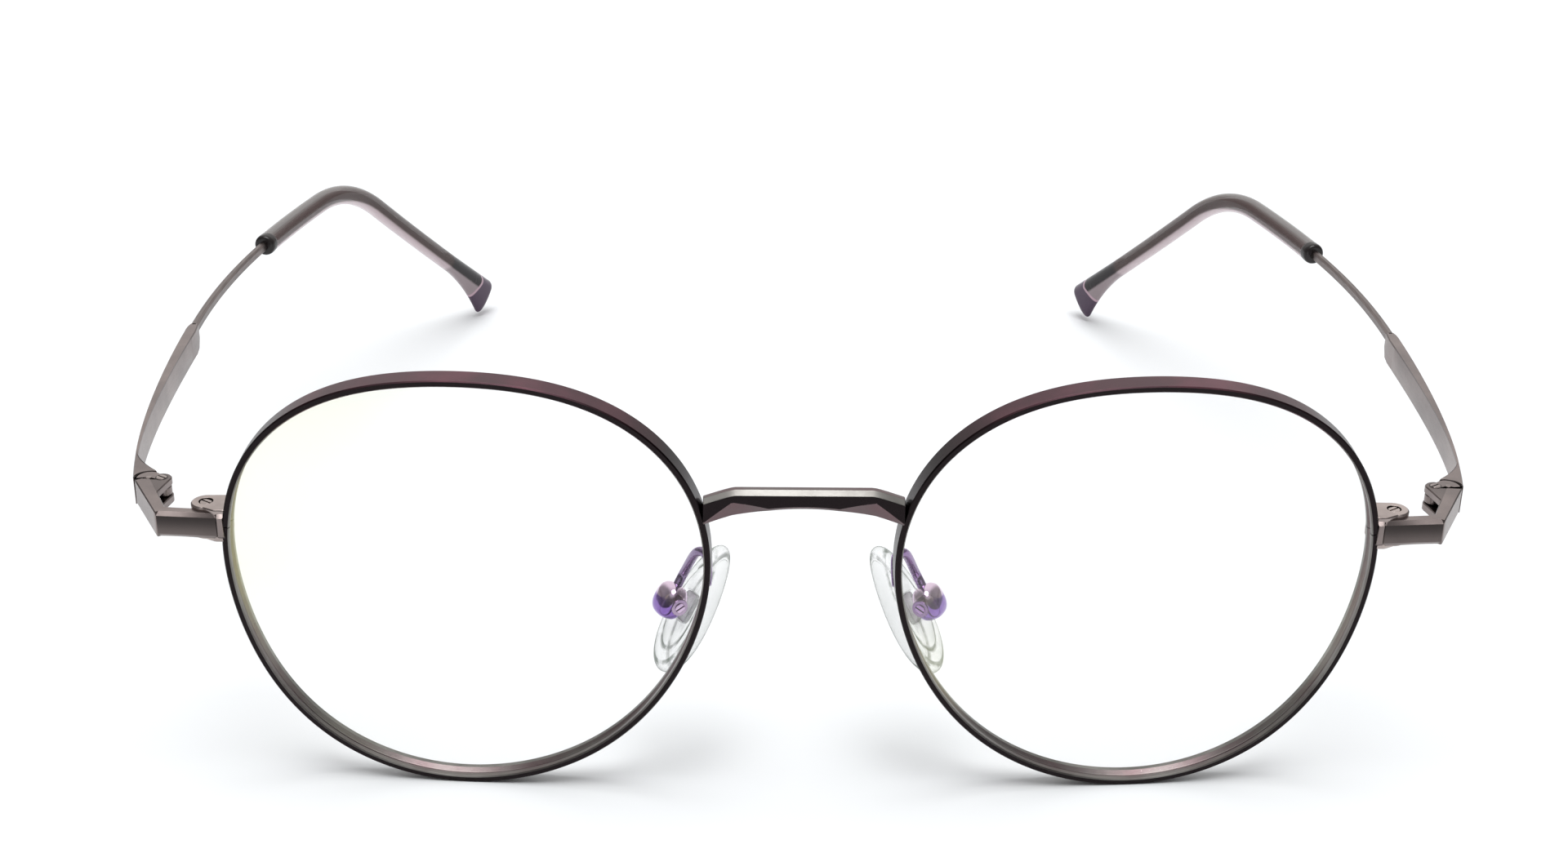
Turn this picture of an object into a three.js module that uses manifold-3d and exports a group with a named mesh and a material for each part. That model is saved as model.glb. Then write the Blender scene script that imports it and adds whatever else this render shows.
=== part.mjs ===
import * as THREE from 'three';
import { mergeVertices } from 'three/addons/utils/BufferGeometryUtils.js';
import Module from 'manifold-3d';

// Round wire eyeglasses, open and resting on the rims and the ear tips.
// Millimetres. +Z is up, the wearer looks along -Y, +X is the wearer's left.
// Every piece of a pair is drawn for the left side; the right one is its mirror image.

const wasm = await Module();
wasm.setup();

// Rims: a round outline, flatter on top, fuller below.
const RIM_RADIUS = 24.1;
const RIM_CROWN = 0.84;
const RIM_LEAN = -0.48;
const RIM_SKEW = -0.2;
const RIM_SQUARE = -0.33;
const RIM_WIRE = 0.73;
const RIM_DEPTH = 2.2;
const RIM_EDGE = 0.14;
const RIM_STEPS = 60;
const RIM_CENTRE_X = 34.13;
const RIM_TILT = THREE.MathUtils.degToRad(6);
const RIM_WRAP = THREE.MathUtils.degToRad(3.8);
const SPLIT_ANGLE = THREE.MathUtils.degToRad(13.7);
const SPLIT_GAP = 0.1;
const CLEARANCE_REACH = 6;
const CLEARANCE_STEPS = 120;
const HEIGHT_STEPS = 720;

// Lens groove and lens.
const GROOVE_HALF_WIDTH = 0.55;
const GROOVE_DEPTH = 0.33;
const LENS_GAP = 0.12;
const LENS_EDGE = 0.9;
const LENS_BULGE = 2.9;
const LENS_BACK_BULGE = 2.7;
const LENS_STEPS = 40;
const LENS_RINGS = [0.15, 0.5, 0.8, 1];

// Bridge: a bar with a flat top and an arched underside.
const BRIDGE_FLAT = 6.6;
const BRIDGE_TOP = 37.35;
const BRIDGE_END_TOP = 35.75;
const BRIDGE_END_BOTTOM = 33.15;
const BRIDGE_ARCH_TOP = 35.35;
const BRIDGE_END_X = 11;
const BRIDGE_FRONT = -2.75;
const BRIDGE_DEPTH = 2.1;
const BRIDGE_BEVEL = 0.5;
const BRIDGE_ARCH_STEPS = 14;

// Clearance between pieces that touch, and how far a cutting tool runs past a face.
const FIT_GAP = 0.05;
const OVERRUN = 1;

// Bar height shared by the end pieces and the temples.
const BAR_TOP = 32.6;
const BAR_BOTTOM = 29.8;
const BAR_BEVEL = 0.3;
const BAR_THICKNESS = 1.25;

// End piece, seen from above.
const END_INNER = new THREE.Vector2(58.52, 0.9);
const END_CORNER = new THREE.Vector2(64.85, 1.4);
const END_SWEEP = THREE.MathUtils.degToRad(27.5);
const END_ARM_LENGTH = 8.6;
const END_INNER_TURN = 0.85;
const END_NECK_EXTRA = 0.35;
const KNUCKLE = new THREE.Vector2(67.4, 9.45);
const KNUCKLE_RADIUS = 1.36;
const KNUCKLE_GAP = 0.16;
const STUD_RADIUS = 0.33;
const STUD_LENGTH = 0.7;

// Hinge: two ears on the end piece, one tongue on the temple.
const HINGE = new THREE.Vector2(66.1, 9.5);
const EAR_RADIUS = 1.05;
const EAR_WEB_OUTER = new THREE.Vector2(67.2, 6.4);
const EAR_WEB_INNER = new THREE.Vector2(65.75, 6.2);
const EAR_START = THREE.MathUtils.degToRad(54);
const EAR_FINISH = THREE.MathUtils.degToRad(194);
const TONGUE_RADIUS = 0.95;
const TONGUE_BOTTOM = 30.75;
const TONGUE_TOP = 31.65;
const TONGUE_GAP = 0.08;
const TONGUE_HALF_WIDTH = 0.5;
const TONGUE_TOWARD = new THREE.Vector2(0.55, 0.83).normalize();
const TONGUE_LENGTH = 2.5;
const TONGUE_CLEARANCE = 0.12;
const NECK_REACH = 4;
const NECK_START = THREE.MathUtils.degToRad(14);
const NECK_FINISH = THREE.MathUtils.degToRad(202);
const HINGE_SCREW_RADIUS = 0.4;
const HINGE_HEAD_RADIUS = 0.55;
const HINGE_HEAD_HEIGHT = 0.4;
const SCREW_GAP = 0.05;
const SCREW_SINK = 0.1;
const SCREW_SIDES = 14;
const SLOT_WIDTH = 0.18;
const SLOT_DEPTH = 0.22;
const SLOT_TURN = THREE.MathUtils.degToRad(36);

// Rim lock: the split block behind the end piece.
const LOCK_CENTRE = new THREE.Vector2(60.1, 3.25);
const LOCK_RADIUS = 1.5;
const LOCK_TOP = 33;
const LOCK_BOTTOM = 29.4;
const LOCK_SPLIT = 31.1;
const LOCK_SPLIT_GAP = 0.1;
const LOCK_INNER_X = 56;
const LOCK_FRONT = 0.95;
const LOCK_SCREW_RADIUS = 0.42;
const LOCK_HEAD_RADIUS = 0.62;
const LOCK_HEAD_HEIGHT = 0.6;
const LOCK_BEVEL = 0.12;

// Temple: flat bar, then a thin wire that ends inside the ear tip.
const BAR_END_Y = 52.3;
const TEMPLE_BOTTOM = 29.5;
const BAR_LIP = 0.12;
const BAR_OUTER_PULL = new THREE.Vector2(72.6, 24);
const BAR_OUTER_END = new THREE.Vector2(73.2, 51.3);
const BAR_END_OUTER_X = 73;
const BAR_END_INNER_X = 72;
const BAR_INNER_END = new THREE.Vector2(71.8, 49.8);
const BAR_INNER_PULL = new THREE.Vector2(71.9, 26);
const BAR_INNER_START = new THREE.Vector2(69.9, 15);
const BAR_EYE_PULL = new THREE.Vector2(69.5, 13.2);
const BAR_EYE_OUTER = new THREE.Vector2(67.4, 11.5);
const BAR_EYE_TIP = new THREE.Vector2(66.95, 11.01);
const BAR_SOCKET_START = THREE.MathUtils.degToRad(106);
const BAR_CURVE_STEPS = 9;
const WIRE_WIDTH = 0.95;
const WIRE_HEIGHT = 1.2;
const WIRE_LEVEL = BAR_TOP - 0.6;
const WIRE_EDGE = 0.25;
const WIRE_STEPS = 6;
const CORE_STEPS = 22;
const BEND_START = 47.1;
const BEND_RADIUS = 23.6;
const BEND_ANGLE = THREE.MathUtils.degToRad(41.6);
const PLAN_CURVE = new THREE.CubicBezierCurve(
  new THREE.Vector2(0, 72.5),
  new THREE.Vector2(26, 72.9),
  new THREE.Vector2(50, 67),
  new THREE.Vector2(97, 48.5),
);

// Ear tip sleeve, its mouth ring and the flat end of the wire inside it.
const RING_START = 29.3;
const RING_LENGTH = 1.8;
const RING_RADIUS = 1.4;
const RING_SIDES = 16;
const RING_SEAT_RADIUS = 2;
const SLEEVE_START = 30.8;
const SLEEVE_END = 98.1;
const SLEEVE_RADIUS = 1.35;
const SLEEVE_STEPS = 24;
const SLEEVE_SIDES = 12;
const PADDLE_START = 86;
const PADDLE_DROP = 4.54;
const PADDLE_TOP = 1.5;
const PADDLE_THINNING = 0.1;
const CORE_END = 94;
const CORE_FLAT_START = 85.5;
const CORE_FLAT_RUN = 2;
const CORE_FLAT_HEIGHT = 2.3;
const CORE_GAP = 0.08;

// Nose pads.
const PAD_CENTRE = new THREE.Vector3(11.3, 8.1, 18.3);
const PAD_RISE = new THREE.Vector3(-6.6, 4, 12.5).normalize();
const PAD_SPLAY = THREE.MathUtils.degToRad(27);
const PAD_LENGTH = 15;
const PAD_WIDTH = 6.5;
const PAD_THICKNESS = 2.3;
const PAD_TAPER = 0.22;
const PAD_FULLNESS = 0.7;
const PAD_SIDES = 22;
const PAD_RINGS = 12;
const BOX_FACE = 1.6;
const BOX_DEPTH = 2.9;
const BOX_LENGTH = 3.8;
const BOX_WIDTH = 3.8;
const BOX_ROUNDING = 1.2;
const BOX_BEVEL = 0.55;
const BOX_CORNER_STEPS = 3;
const BOX_MOUTH_END = 0.15;
const BOX_MOUTH_HEIGHT = 2.2;
const PAD_PIVOT = 2.75;
const EYE_RADIUS = 0.85;
const EYE_THICKNESS = 0.9;
const EYE_GAP = 0.1;
const INSERT_LENGTH = 3.4;
const INSERT_WIDTH = 2.4;
const INSERT_THICKNESS = 0.55;
const INSERT_DEPTH = 0.95;
const PAD_SCREW_RADIUS = 0.35;
const PAD_HEAD_RADIUS = 0.6;
const PAD_HEAD_HEIGHT = 0.4;
const ARM_RADIUS = 0.5;
const ARM_STEPS = 18;
const ARM_CORNER_STEPS = 5;
const ARM_STANDOFF = 1.6;
const ARM_BENDS = [
  new THREE.Vector3(9.6, 0.4, 24.6),
  new THREE.Vector3(9.55, 2, 26),
  new THREE.Vector3(9.75, 3.8, 26.9),
  new THREE.Vector3(10.8, 5.3, 26.4),
];

function finish(color, roughness, metalness) {
  return new THREE.MeshStandardMaterial({ color, roughness, metalness });
}

const finishes = {
  front: () => finish(0x2c2024, 0.35, 0.9),
  gunmetal: () => finish(0x8f8380, 0.38, 0.95),
  screw: () => finish(0xb5aca6, 0.3, 1),
  violet: () => finish(0x8a63b8, 0.25, 0.9),
  lens: () => finish(0xf4f8f2, 0.05, 0),
  silicone: () => finish(0xe6ece6, 0.25, 0),
  acetate: () => finish(0xb7a3a8, 0.2, 0),
  black: () => finish(0x161314, 0.4, 0.2),
};

function solidOf(geometry) {
  const bare = geometry.clone();
  bare.deleteAttribute('normal');
  bare.deleteAttribute('uv');
  const merged = mergeVertices(bare, 1e-5);
  const vertProperties = new Float32Array(merged.attributes.position.array);
  const triVerts = new Uint32Array(merged.index.array);
  return new wasm.Manifold(new wasm.Mesh({ numProp: 3, vertProperties, triVerts }));
}

function geometryOf(solid) {
  const mesh = solid.getMesh();
  const geometry = new THREE.BufferGeometry();
  geometry.setAttribute('position', new THREE.BufferAttribute(mesh.vertProperties, 3));
  geometry.setIndex(new THREE.BufferAttribute(mesh.triVerts, 1));
  return geometry;
}

function join(first, ...others) {
  return geometryOf(others.reduce((solid, g) => solid.add(solidOf(g)), solidOf(first)));
}

function cut(first, ...tools) {
  return geometryOf(tools.reduce((solid, g) => solid.subtract(solidOf(g)), solidOf(first)));
}

// The same shape with the winding of its faces reversed.
function turnedOut(geometry) {
  const turned = geometry.index ? geometry.clone() : mergeVertices(geometry);
  const index = turned.index.array;
  for (let i = 0; i < index.length; i += 3) {
    const first = index[i];
    index[i] = index[i + 1];
    index[i + 1] = first;
  }
  return turned;
}

// The same shape on the other side of the YZ plane, with its faces still outwards.
function mirrored(geometry) {
  return turnedOut(geometry).scale(-1, 1, 1);
}

// A skin over a row of rings with equal point counts, closed on itself or capped at both ends.
function loft(rings, closed) {
  const count = rings[0].length;
  const points = rings.flat();
  const indices = [];
  const spans = closed ? rings.length : rings.length - 1;
  for (let i = 0; i < spans; i += 1) {
    const here = i * count;
    const next = ((i + 1) % rings.length) * count;
    for (let k = 0; k < count; k += 1) {
      const after = (k + 1) % count;
      indices.push(here + k, here + after, next + after);
      indices.push(here + k, next + after, next + k);
    }
  }
  if (!closed) {
    capRing(points, indices, 0, count, true);
    capRing(points, indices, (rings.length - 1) * count, count, false);
  }
  const geometry = new THREE.BufferGeometry().setFromPoints(points);
  geometry.setIndex(indices);
  return outward(geometry);
}

function capRing(points, indices, start, count, reversed) {
  const centre = new THREE.Vector3();
  for (let k = 0; k < count; k += 1) {
    centre.add(points[start + k]);
  }
  points.push(centre.divideScalar(count));
  const middle = points.length - 1;
  for (let k = 0; k < count; k += 1) {
    const after = start + ((k + 1) % count);
    indices.push(...(reversed ? [middle, after, start + k] : [middle, start + k, after]));
  }
}

function outward(geometry) {
  const position = geometry.attributes.position;
  const index = geometry.index.array;
  const [a, b, c] = [new THREE.Vector3(), new THREE.Vector3(), new THREE.Vector3()];
  let volume = 0;
  for (let i = 0; i < index.length; i += 3) {
    a.fromBufferAttribute(position, index[i]);
    b.fromBufferAttribute(position, index[i + 1]);
    c.fromBufferAttribute(position, index[i + 2]);
    volume += a.dot(b.cross(c));
  }
  return volume < 0 ? turnedOut(geometry) : geometry;
}

// A plan outline raised between two heights, with bevelled rims where asked.
function slab(shape, bottom, top, bevel = 0, curveSegments = 7) {
  const geometry = new THREE.ExtrudeGeometry(shape, {
    depth: top - bottom - 2 * bevel,
    bevelEnabled: bevel > 0,
    bevelThickness: bevel,
    bevelSize: bevel,
    bevelOffset: -bevel,
    bevelSegments: 1,
    curveSegments,
  });
  return geometry.translate(0, 0, bottom + bevel);
}

function post(radius, bottom, top, centre, sides = SCREW_SIDES) {
  const geometry = new THREE.CylinderGeometry(radius, radius, top - bottom, sides);
  return geometry.rotateX(Math.PI / 2).translate(centre.x, centre.y, (bottom + top) / 2);
}

// Rims and lenses.

function rimRadius(angle) {
  return RIM_RADIUS
    + RIM_CROWN * Math.sin(3 * angle)
    + RIM_LEAN * Math.sin(2 * angle)
    + RIM_SKEW * Math.cos(3 * angle)
    + RIM_SQUARE * Math.cos(4 * angle);
}

function rimPoint(angle, offset, depth) {
  const radius = rimRadius(angle) + offset;
  return new THREE.Vector3(radius * Math.cos(angle), depth, radius * Math.sin(angle));
}

function rimOutline(offset, depth, steps) {
  return Array.from({ length: steps }, (_, i) => rimPoint((2 * Math.PI * i) / steps, offset, depth));
}

function rimRotation() {
  return new THREE.Euler(RIM_TILT, 0, RIM_WRAP);
}

// The height of the rim's centre that puts the lowest point of its tilted outline on the ground.
function rimHeight() {
  const turn = new THREE.Matrix4().makeRotationFromEuler(rimRotation());
  const heights = rimOutline(RIM_WIRE, RIM_EDGE, HEIGHT_STEPS).map((point) => point.applyMatrix4(turn).z);
  return -Math.min(...heights);
}

const RIM_CENTRE = new THREE.Vector3(RIM_CENTRE_X, 0, rimHeight());

function rimSection() {
  const middle = RIM_DEPTH / 2;
  return [
    [RIM_EDGE, 0],
    [RIM_WIRE - RIM_EDGE, 0],
    [RIM_WIRE, RIM_EDGE],
    [RIM_WIRE, RIM_DEPTH - RIM_EDGE],
    [RIM_WIRE - RIM_EDGE, RIM_DEPTH],
    [RIM_EDGE, RIM_DEPTH],
    [0, RIM_DEPTH - RIM_EDGE],
    [0, middle + GROOVE_HALF_WIDTH],
    [GROOVE_DEPTH, middle],
    [0, middle - GROOVE_HALF_WIDTH],
    [0, RIM_EDGE],
  ];
}

// The wire runs once round from one face of its split to the other.
function rim() {
  const halfGap = SPLIT_GAP / 2 / RIM_RADIUS;
  const start = SPLIT_ANGLE + halfGap;
  const travel = 2 * Math.PI - 2 * halfGap;
  const rings = Array.from({ length: RIM_STEPS + 1 }, (_, i) => {
    const angle = start + (travel * i) / RIM_STEPS;
    return rimSection().map(([offset, depth]) => rimPoint(angle, offset, depth));
  });
  return loft(rings, false);
}

function lens() {
  const middle = RIM_DEPTH / 2;
  const edge = LENS_EDGE / 2;
  const dome = (face, bulge) => LENS_RINGS.map((part) => rimOutline(0, 0, LENS_STEPS).map((point) => {
    const reach = part * (1 - LENS_GAP / point.length());
    return new THREE.Vector3(point.x * reach, face - bulge * (1 - part * part), point.z * reach);
  }));
  const front = dome(middle - edge, LENS_BULGE);
  const back = dome(middle + edge, LENS_BACK_BULGE).reverse();
  const apex = rimOutline(GROOVE_DEPTH - LENS_GAP, middle, LENS_STEPS);
  return loft([...front, apex, ...back], false);
}

// Everything within the rim's outer edge, from well in front of it to well behind it.
function rimClearance(gap) {
  const depths = [-CLEARANCE_REACH, RIM_DEPTH + CLEARANCE_REACH];
  const rings = depths.map((depth) => rimOutline(RIM_WIRE + gap, depth, CLEARANCE_STEPS));
  const place = new THREE.Matrix4().makeRotationFromEuler(rimRotation()).setPosition(RIM_CENTRE);
  return loft(rings, false).applyMatrix4(place);
}

// Bridge.

function bridge() {
  const shape = new THREE.Shape();
  shape.moveTo(-BRIDGE_END_X, BRIDGE_END_TOP);
  shape.lineTo(-BRIDGE_END_X, BRIDGE_END_BOTTOM);
  shape.quadraticCurveTo(0, 2 * BRIDGE_ARCH_TOP - BRIDGE_END_BOTTOM, BRIDGE_END_X, BRIDGE_END_BOTTOM);
  shape.lineTo(BRIDGE_END_X, BRIDGE_END_TOP);
  shape.lineTo(BRIDGE_FLAT, BRIDGE_TOP);
  shape.lineTo(-BRIDGE_FLAT, BRIDGE_TOP);
  const bar = slab(shape, 0, BRIDGE_DEPTH, BRIDGE_BEVEL, BRIDGE_ARCH_STEPS);
  bar.rotateX(Math.PI / 2).translate(0, BRIDGE_FRONT + BRIDGE_DEPTH, 0);
  const clear = rimClearance(FIT_GAP);
  return cut(bar, clear, mirrored(clear));
}

// End piece, rim lock and their screw.

function endPlan(grow) {
  const along = new THREE.Vector2(Math.sin(END_SWEEP), Math.cos(END_SWEEP));
  const across = new THREE.Vector2(-Math.cos(END_SWEEP), Math.sin(END_SWEEP));
  const front = END_CORNER.clone().sub(END_INNER).normalize();
  const back = new THREE.Vector2(-front.y, front.x);
  const outer = END_CORNER.clone().addScaledVector(along, END_ARM_LENGTH);
  const inner = END_INNER.clone().addScaledVector(back, BAR_THICKNESS + grow);
  const corner = END_CORNER.clone().addScaledVector(across, BAR_THICKNESS);
  const turn = corner.addScaledVector(along, END_INNER_TURN);
  const neck = outer.clone().addScaledVector(across, BAR_THICKNESS + END_NECK_EXTRA);
  const shape = new THREE.Shape();
  shape.moveTo(END_INNER.x - grow, END_INNER.y - grow);
  shape.lineTo(END_CORNER.x, END_CORNER.y - grow);
  shape.lineTo(outer.x, outer.y);
  shape.lineTo(neck.x, neck.y);
  shape.lineTo(turn.x - grow, turn.y + grow);
  shape.lineTo(inner.x - grow, inner.y);
  return shape;
}

function disc(centre, radius) {
  const shape = new THREE.Shape();
  shape.absarc(centre.x, centre.y, radius, 0, 2 * Math.PI);
  return shape;
}

// The round ear and the web that ties it to the bar in front of it.
function earPlan() {
  const shape = new THREE.Shape();
  shape.moveTo(EAR_WEB_OUTER.x, EAR_WEB_OUTER.y);
  shape.lineTo(KNUCKLE.x, KNUCKLE.y);
  shape.absarc(HINGE.x, HINGE.y, EAR_RADIUS, EAR_START, EAR_FINISH);
  shape.lineTo(EAR_WEB_INNER.x, EAR_WEB_INNER.y);
  return shape;
}

// The sweep of the tongue's neck between open and folded.
function neckSweep() {
  const shape = new THREE.Shape();
  shape.moveTo(HINGE.x, HINGE.y);
  shape.absarc(HINGE.x, HINGE.y, NECK_REACH, NECK_START, NECK_FINISH);
  return shape;
}

function endPiece() {
  const slotBottom = TONGUE_BOTTOM - TONGUE_GAP;
  const slotTop = TONGUE_TOP + TONGUE_GAP;
  const bar = slab(endPlan(0), BAR_BOTTOM, BAR_TOP, BAR_BEVEL);
  const knuckle = slab(disc(KNUCKLE, KNUCKLE_RADIUS), BAR_BOTTOM, BAR_TOP);
  const lowerEar = slab(earPlan(), BAR_BOTTOM, slotBottom);
  const upperEar = slab(earPlan(), slotTop, BAR_TOP);
  const whole = join(bar, knuckle, lowerEar, upperEar);
  return cut(
    whole,
    slab(disc(HINGE, TONGUE_RADIUS + TONGUE_CLEARANCE), slotBottom, slotTop),
    slab(neckSweep(), slotBottom, slotTop),
    post(HINGE_SCREW_RADIUS + SCREW_GAP, BAR_BOTTOM - OVERRUN, BAR_TOP + OVERRUN, HINGE),
    headSeat(HINGE_HEAD_RADIUS, HINGE_HEAD_HEIGHT, BAR_TOP, HINGE),
    post(STUD_RADIUS + SCREW_GAP, BAR_TOP - STUD_LENGTH - SCREW_GAP, BAR_TOP + OVERRUN, KNUCKLE),
  );
}

// The round pocket that a screw head sinks into.
function headSeat(head, headHeight, top, centre) {
  return post(head + SCREW_GAP, top - SCREW_SINK - headHeight - SCREW_GAP, top + OVERRUN, centre);
}

function hingeStud() {
  return post(STUD_RADIUS, BAR_TOP - STUD_LENGTH, BAR_TOP, KNUCKLE);
}

// A slotted screw with its head up, filling the height between `bottom` and `top`.
function screw(shank, head, headHeight, bottom, top, centre) {
  const profile = [
    new THREE.Vector2(0, bottom),
    new THREE.Vector2(shank, bottom),
    new THREE.Vector2(shank, top - headHeight),
    new THREE.Vector2(head, top - headHeight),
    new THREE.Vector2(head, top),
    new THREE.Vector2(0, top),
  ];
  const body = new THREE.LatheGeometry(profile, SCREW_SIDES);
  body.rotateX(Math.PI / 2).translate(centre.x, centre.y, 0);
  const slot = new THREE.BoxGeometry(4 * head, SLOT_WIDTH, 2 * SLOT_DEPTH);
  slot.rotateZ(SLOT_TURN).translate(centre.x, centre.y, top);
  return cut(body, slot);
}

function hingeScrew() {
  const top = BAR_TOP - SCREW_SINK;
  return screw(HINGE_SCREW_RADIUS, HINGE_HEAD_RADIUS, HINGE_HEAD_HEIGHT, BAR_BOTTOM, top, HINGE);
}

function lockPlan() {
  const back = LOCK_CENTRE.y + LOCK_RADIUS;
  const shape = new THREE.Shape();
  shape.moveTo(LOCK_INNER_X, LOCK_FRONT);
  shape.lineTo(END_INNER.x - FIT_GAP, LOCK_FRONT);
  shape.lineTo(END_INNER.x - FIT_GAP, LOCK_CENTRE.y - LOCK_RADIUS);
  shape.lineTo(LOCK_CENTRE.x, LOCK_CENTRE.y - LOCK_RADIUS);
  shape.absarc(LOCK_CENTRE.x, LOCK_CENTRE.y, LOCK_RADIUS, -Math.PI / 2, Math.PI / 2);
  shape.lineTo(LOCK_INNER_X, back);
  return shape;
}

function lockHalf(bottom, top) {
  return cut(
    slab(lockPlan(), bottom, top, LOCK_BEVEL),
    rimClearance(FIT_GAP),
    slab(endPlan(FIT_GAP), BAR_BOTTOM - FIT_GAP, BAR_TOP + FIT_GAP),
    post(LOCK_SCREW_RADIUS + SCREW_GAP, LOCK_BOTTOM - OVERRUN, LOCK_TOP + OVERRUN, LOCK_CENTRE),
    headSeat(LOCK_HEAD_RADIUS, LOCK_HEAD_HEIGHT, LOCK_TOP, LOCK_CENTRE),
  );
}

function lockScrew() {
  const [bottom, top] = [LOCK_BOTTOM + SCREW_SINK, LOCK_TOP - SCREW_SINK];
  return screw(LOCK_SCREW_RADIUS, LOCK_HEAD_RADIUS, LOCK_HEAD_HEIGHT, bottom, top, LOCK_CENTRE);
}

// Temple.

function barPlan() {
  const socket = KNUCKLE_RADIUS + KNUCKLE_GAP;
  const shape = new THREE.Shape();
  shape.moveTo(KNUCKLE.x + socket, KNUCKLE.y);
  shape.lineTo(KNUCKLE.x + socket + BAR_LIP, KNUCKLE.y);
  shape.quadraticCurveTo(BAR_OUTER_PULL.x, BAR_OUTER_PULL.y, BAR_OUTER_END.x, BAR_OUTER_END.y);
  shape.lineTo(BAR_END_OUTER_X, BAR_END_Y);
  shape.lineTo(BAR_END_INNER_X, BAR_END_Y);
  shape.lineTo(BAR_INNER_END.x, BAR_INNER_END.y);
  shape.quadraticCurveTo(BAR_INNER_PULL.x, BAR_INNER_PULL.y, BAR_INNER_START.x, BAR_INNER_START.y);
  shape.quadraticCurveTo(BAR_EYE_PULL.x, BAR_EYE_PULL.y, BAR_EYE_OUTER.x, BAR_EYE_OUTER.y);
  shape.lineTo(BAR_EYE_TIP.x, BAR_EYE_TIP.y);
  shape.absarc(KNUCKLE.x, KNUCKLE.y, socket, BAR_SOCKET_START, 0, true);
  return shape;
}

function tonguePlan() {
  const across = new THREE.Vector2(-TONGUE_TOWARD.y, TONGUE_TOWARD.x).multiplyScalar(TONGUE_HALF_WIDTH);
  const far = HINGE.clone().addScaledVector(TONGUE_TOWARD, TONGUE_LENGTH);
  return new THREE.Shape([
    HINGE.clone().add(across),
    far.clone().add(across),
    far.clone().sub(across),
    HINGE.clone().sub(across),
  ]);
}

function templeBar() {
  const body = slab(barPlan(), TEMPLE_BOTTOM, BAR_TOP, 0, BAR_CURVE_STEPS);
  const neck = slab(tonguePlan(), TONGUE_BOTTOM, TONGUE_TOP);
  const eye = slab(disc(HINGE, TONGUE_RADIUS), TONGUE_BOTTOM, TONGUE_TOP);
  const bore = post(HINGE_SCREW_RADIUS + SCREW_GAP, TEMPLE_BOTTOM, BAR_TOP, HINGE);
  return cut(join(body, neck, eye), bore);
}

// The centreline behind the bar: straight and level, then a round bend, then straight down to the tip.
function templePoint(t) {
  const plan = PLAN_CURVE.getPoint(t);
  const arc = THREE.MathUtils.clamp((plan.x - BEND_START) / BEND_RADIUS, 0, BEND_ANGLE);
  const level = Math.min(plan.x, BEND_START);
  const drop = Math.max(plan.x - BEND_START - BEND_RADIUS * BEND_ANGLE, 0);
  const y = BAR_END_Y + level + BEND_RADIUS * Math.sin(arc) + drop * Math.cos(arc);
  const z = WIRE_LEVEL - BEND_RADIUS * (1 - Math.cos(arc)) - drop * Math.sin(arc);
  return new THREE.Vector3(plan.y, y, z);
}

function curveParameter(distance) {
  let [low, high] = [0, 1.1];
  while (high - low > 1e-6) {
    const middle = (low + high) / 2;
    if (PLAN_CURVE.getPoint(middle).x < distance) {
      low = middle;
    } else {
      high = middle;
    }
  }
  return low;
}

// Position, sideways direction and upward direction at a distance behind the bar.
function templeFrame(distance) {
  const t = curveParameter(distance);
  const origin = templePoint(t);
  const tangent = templePoint(t + 1e-3).sub(templePoint(t - 1e-3)).normalize();
  const up = new THREE.Vector3(0, 0, 1).addScaledVector(tangent, -tangent.z).normalize();
  return { origin, up, side: new THREE.Vector3().crossVectors(tangent, up) };
}

function templeSkin(distances, section) {
  return loft(distances.map((distance) => {
    const { origin, up, side } = templeFrame(distance);
    return section(distance).map(([across, high]) => origin.clone()
      .addScaledVector(side, across)
      .addScaledVector(up, high));
  }), false);
}

function span(start, end, steps) {
  return Array.from({ length: steps + 1 }, (_, i) => start + ((end - start) * i) / steps);
}

function chamferedBox(width, height, edge) {
  const [x, z] = [width / 2, height / 2];
  return [
    [x, z - edge], [x - edge, z], [-x + edge, z], [-x, z - edge],
    [-x, -z + edge], [-x + edge, -z], [x - edge, -z], [x, -z + edge],
  ];
}

// The wire keeps its size up to the ear tip, where its last stretch is pressed flat and tall.
function wireSection(gap) {
  return (distance) => {
    const flat = THREE.MathUtils.smoothstep(distance, CORE_FLAT_START, CORE_FLAT_START + CORE_FLAT_RUN);
    const height = WIRE_HEIGHT + flat * (CORE_FLAT_HEIGHT - WIRE_HEIGHT);
    return chamferedBox(WIRE_WIDTH + 2 * gap, height + 2 * gap, WIRE_EDGE);
  };
}

// The stations of the wire from just before the sleeve to its end, shared by the bore round it.
function coreStations() {
  return span(SLEEVE_START - OVERRUN, CORE_END, CORE_STEPS);
}

function templeWire() {
  const bare = span(FIT_GAP, SLEEVE_START - OVERRUN, WIRE_STEPS).slice(0, -1);
  return templeSkin([...bare, ...coreStations()], wireSection(0));
}

function oval(halfWidth, above, below, sides) {
  return Array.from({ length: sides }, (_, i) => {
    const angle = (2 * Math.PI * i) / sides;
    const high = Math.sin(angle);
    return [halfWidth * Math.cos(angle), high * (high > 0 ? above : below)];
  });
}

function roundSkin(start, end, radius, sides) {
  return templeSkin([start, (start + end) / 2, end], () => oval(radius, radius, radius, sides));
}

function tipRing() {
  const end = RING_START + RING_LENGTH;
  const bore = templeSkin(span(RING_START - OVERRUN, end + OVERRUN, 3), wireSection(CORE_GAP));
  const seat = roundSkin(SLEEVE_START - FIT_GAP, end + OVERRUN, RING_SEAT_RADIUS, SLEEVE_SIDES);
  return cut(roundSkin(RING_START, end, RING_RADIUS, RING_SIDES), bore, seat);
}

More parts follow.
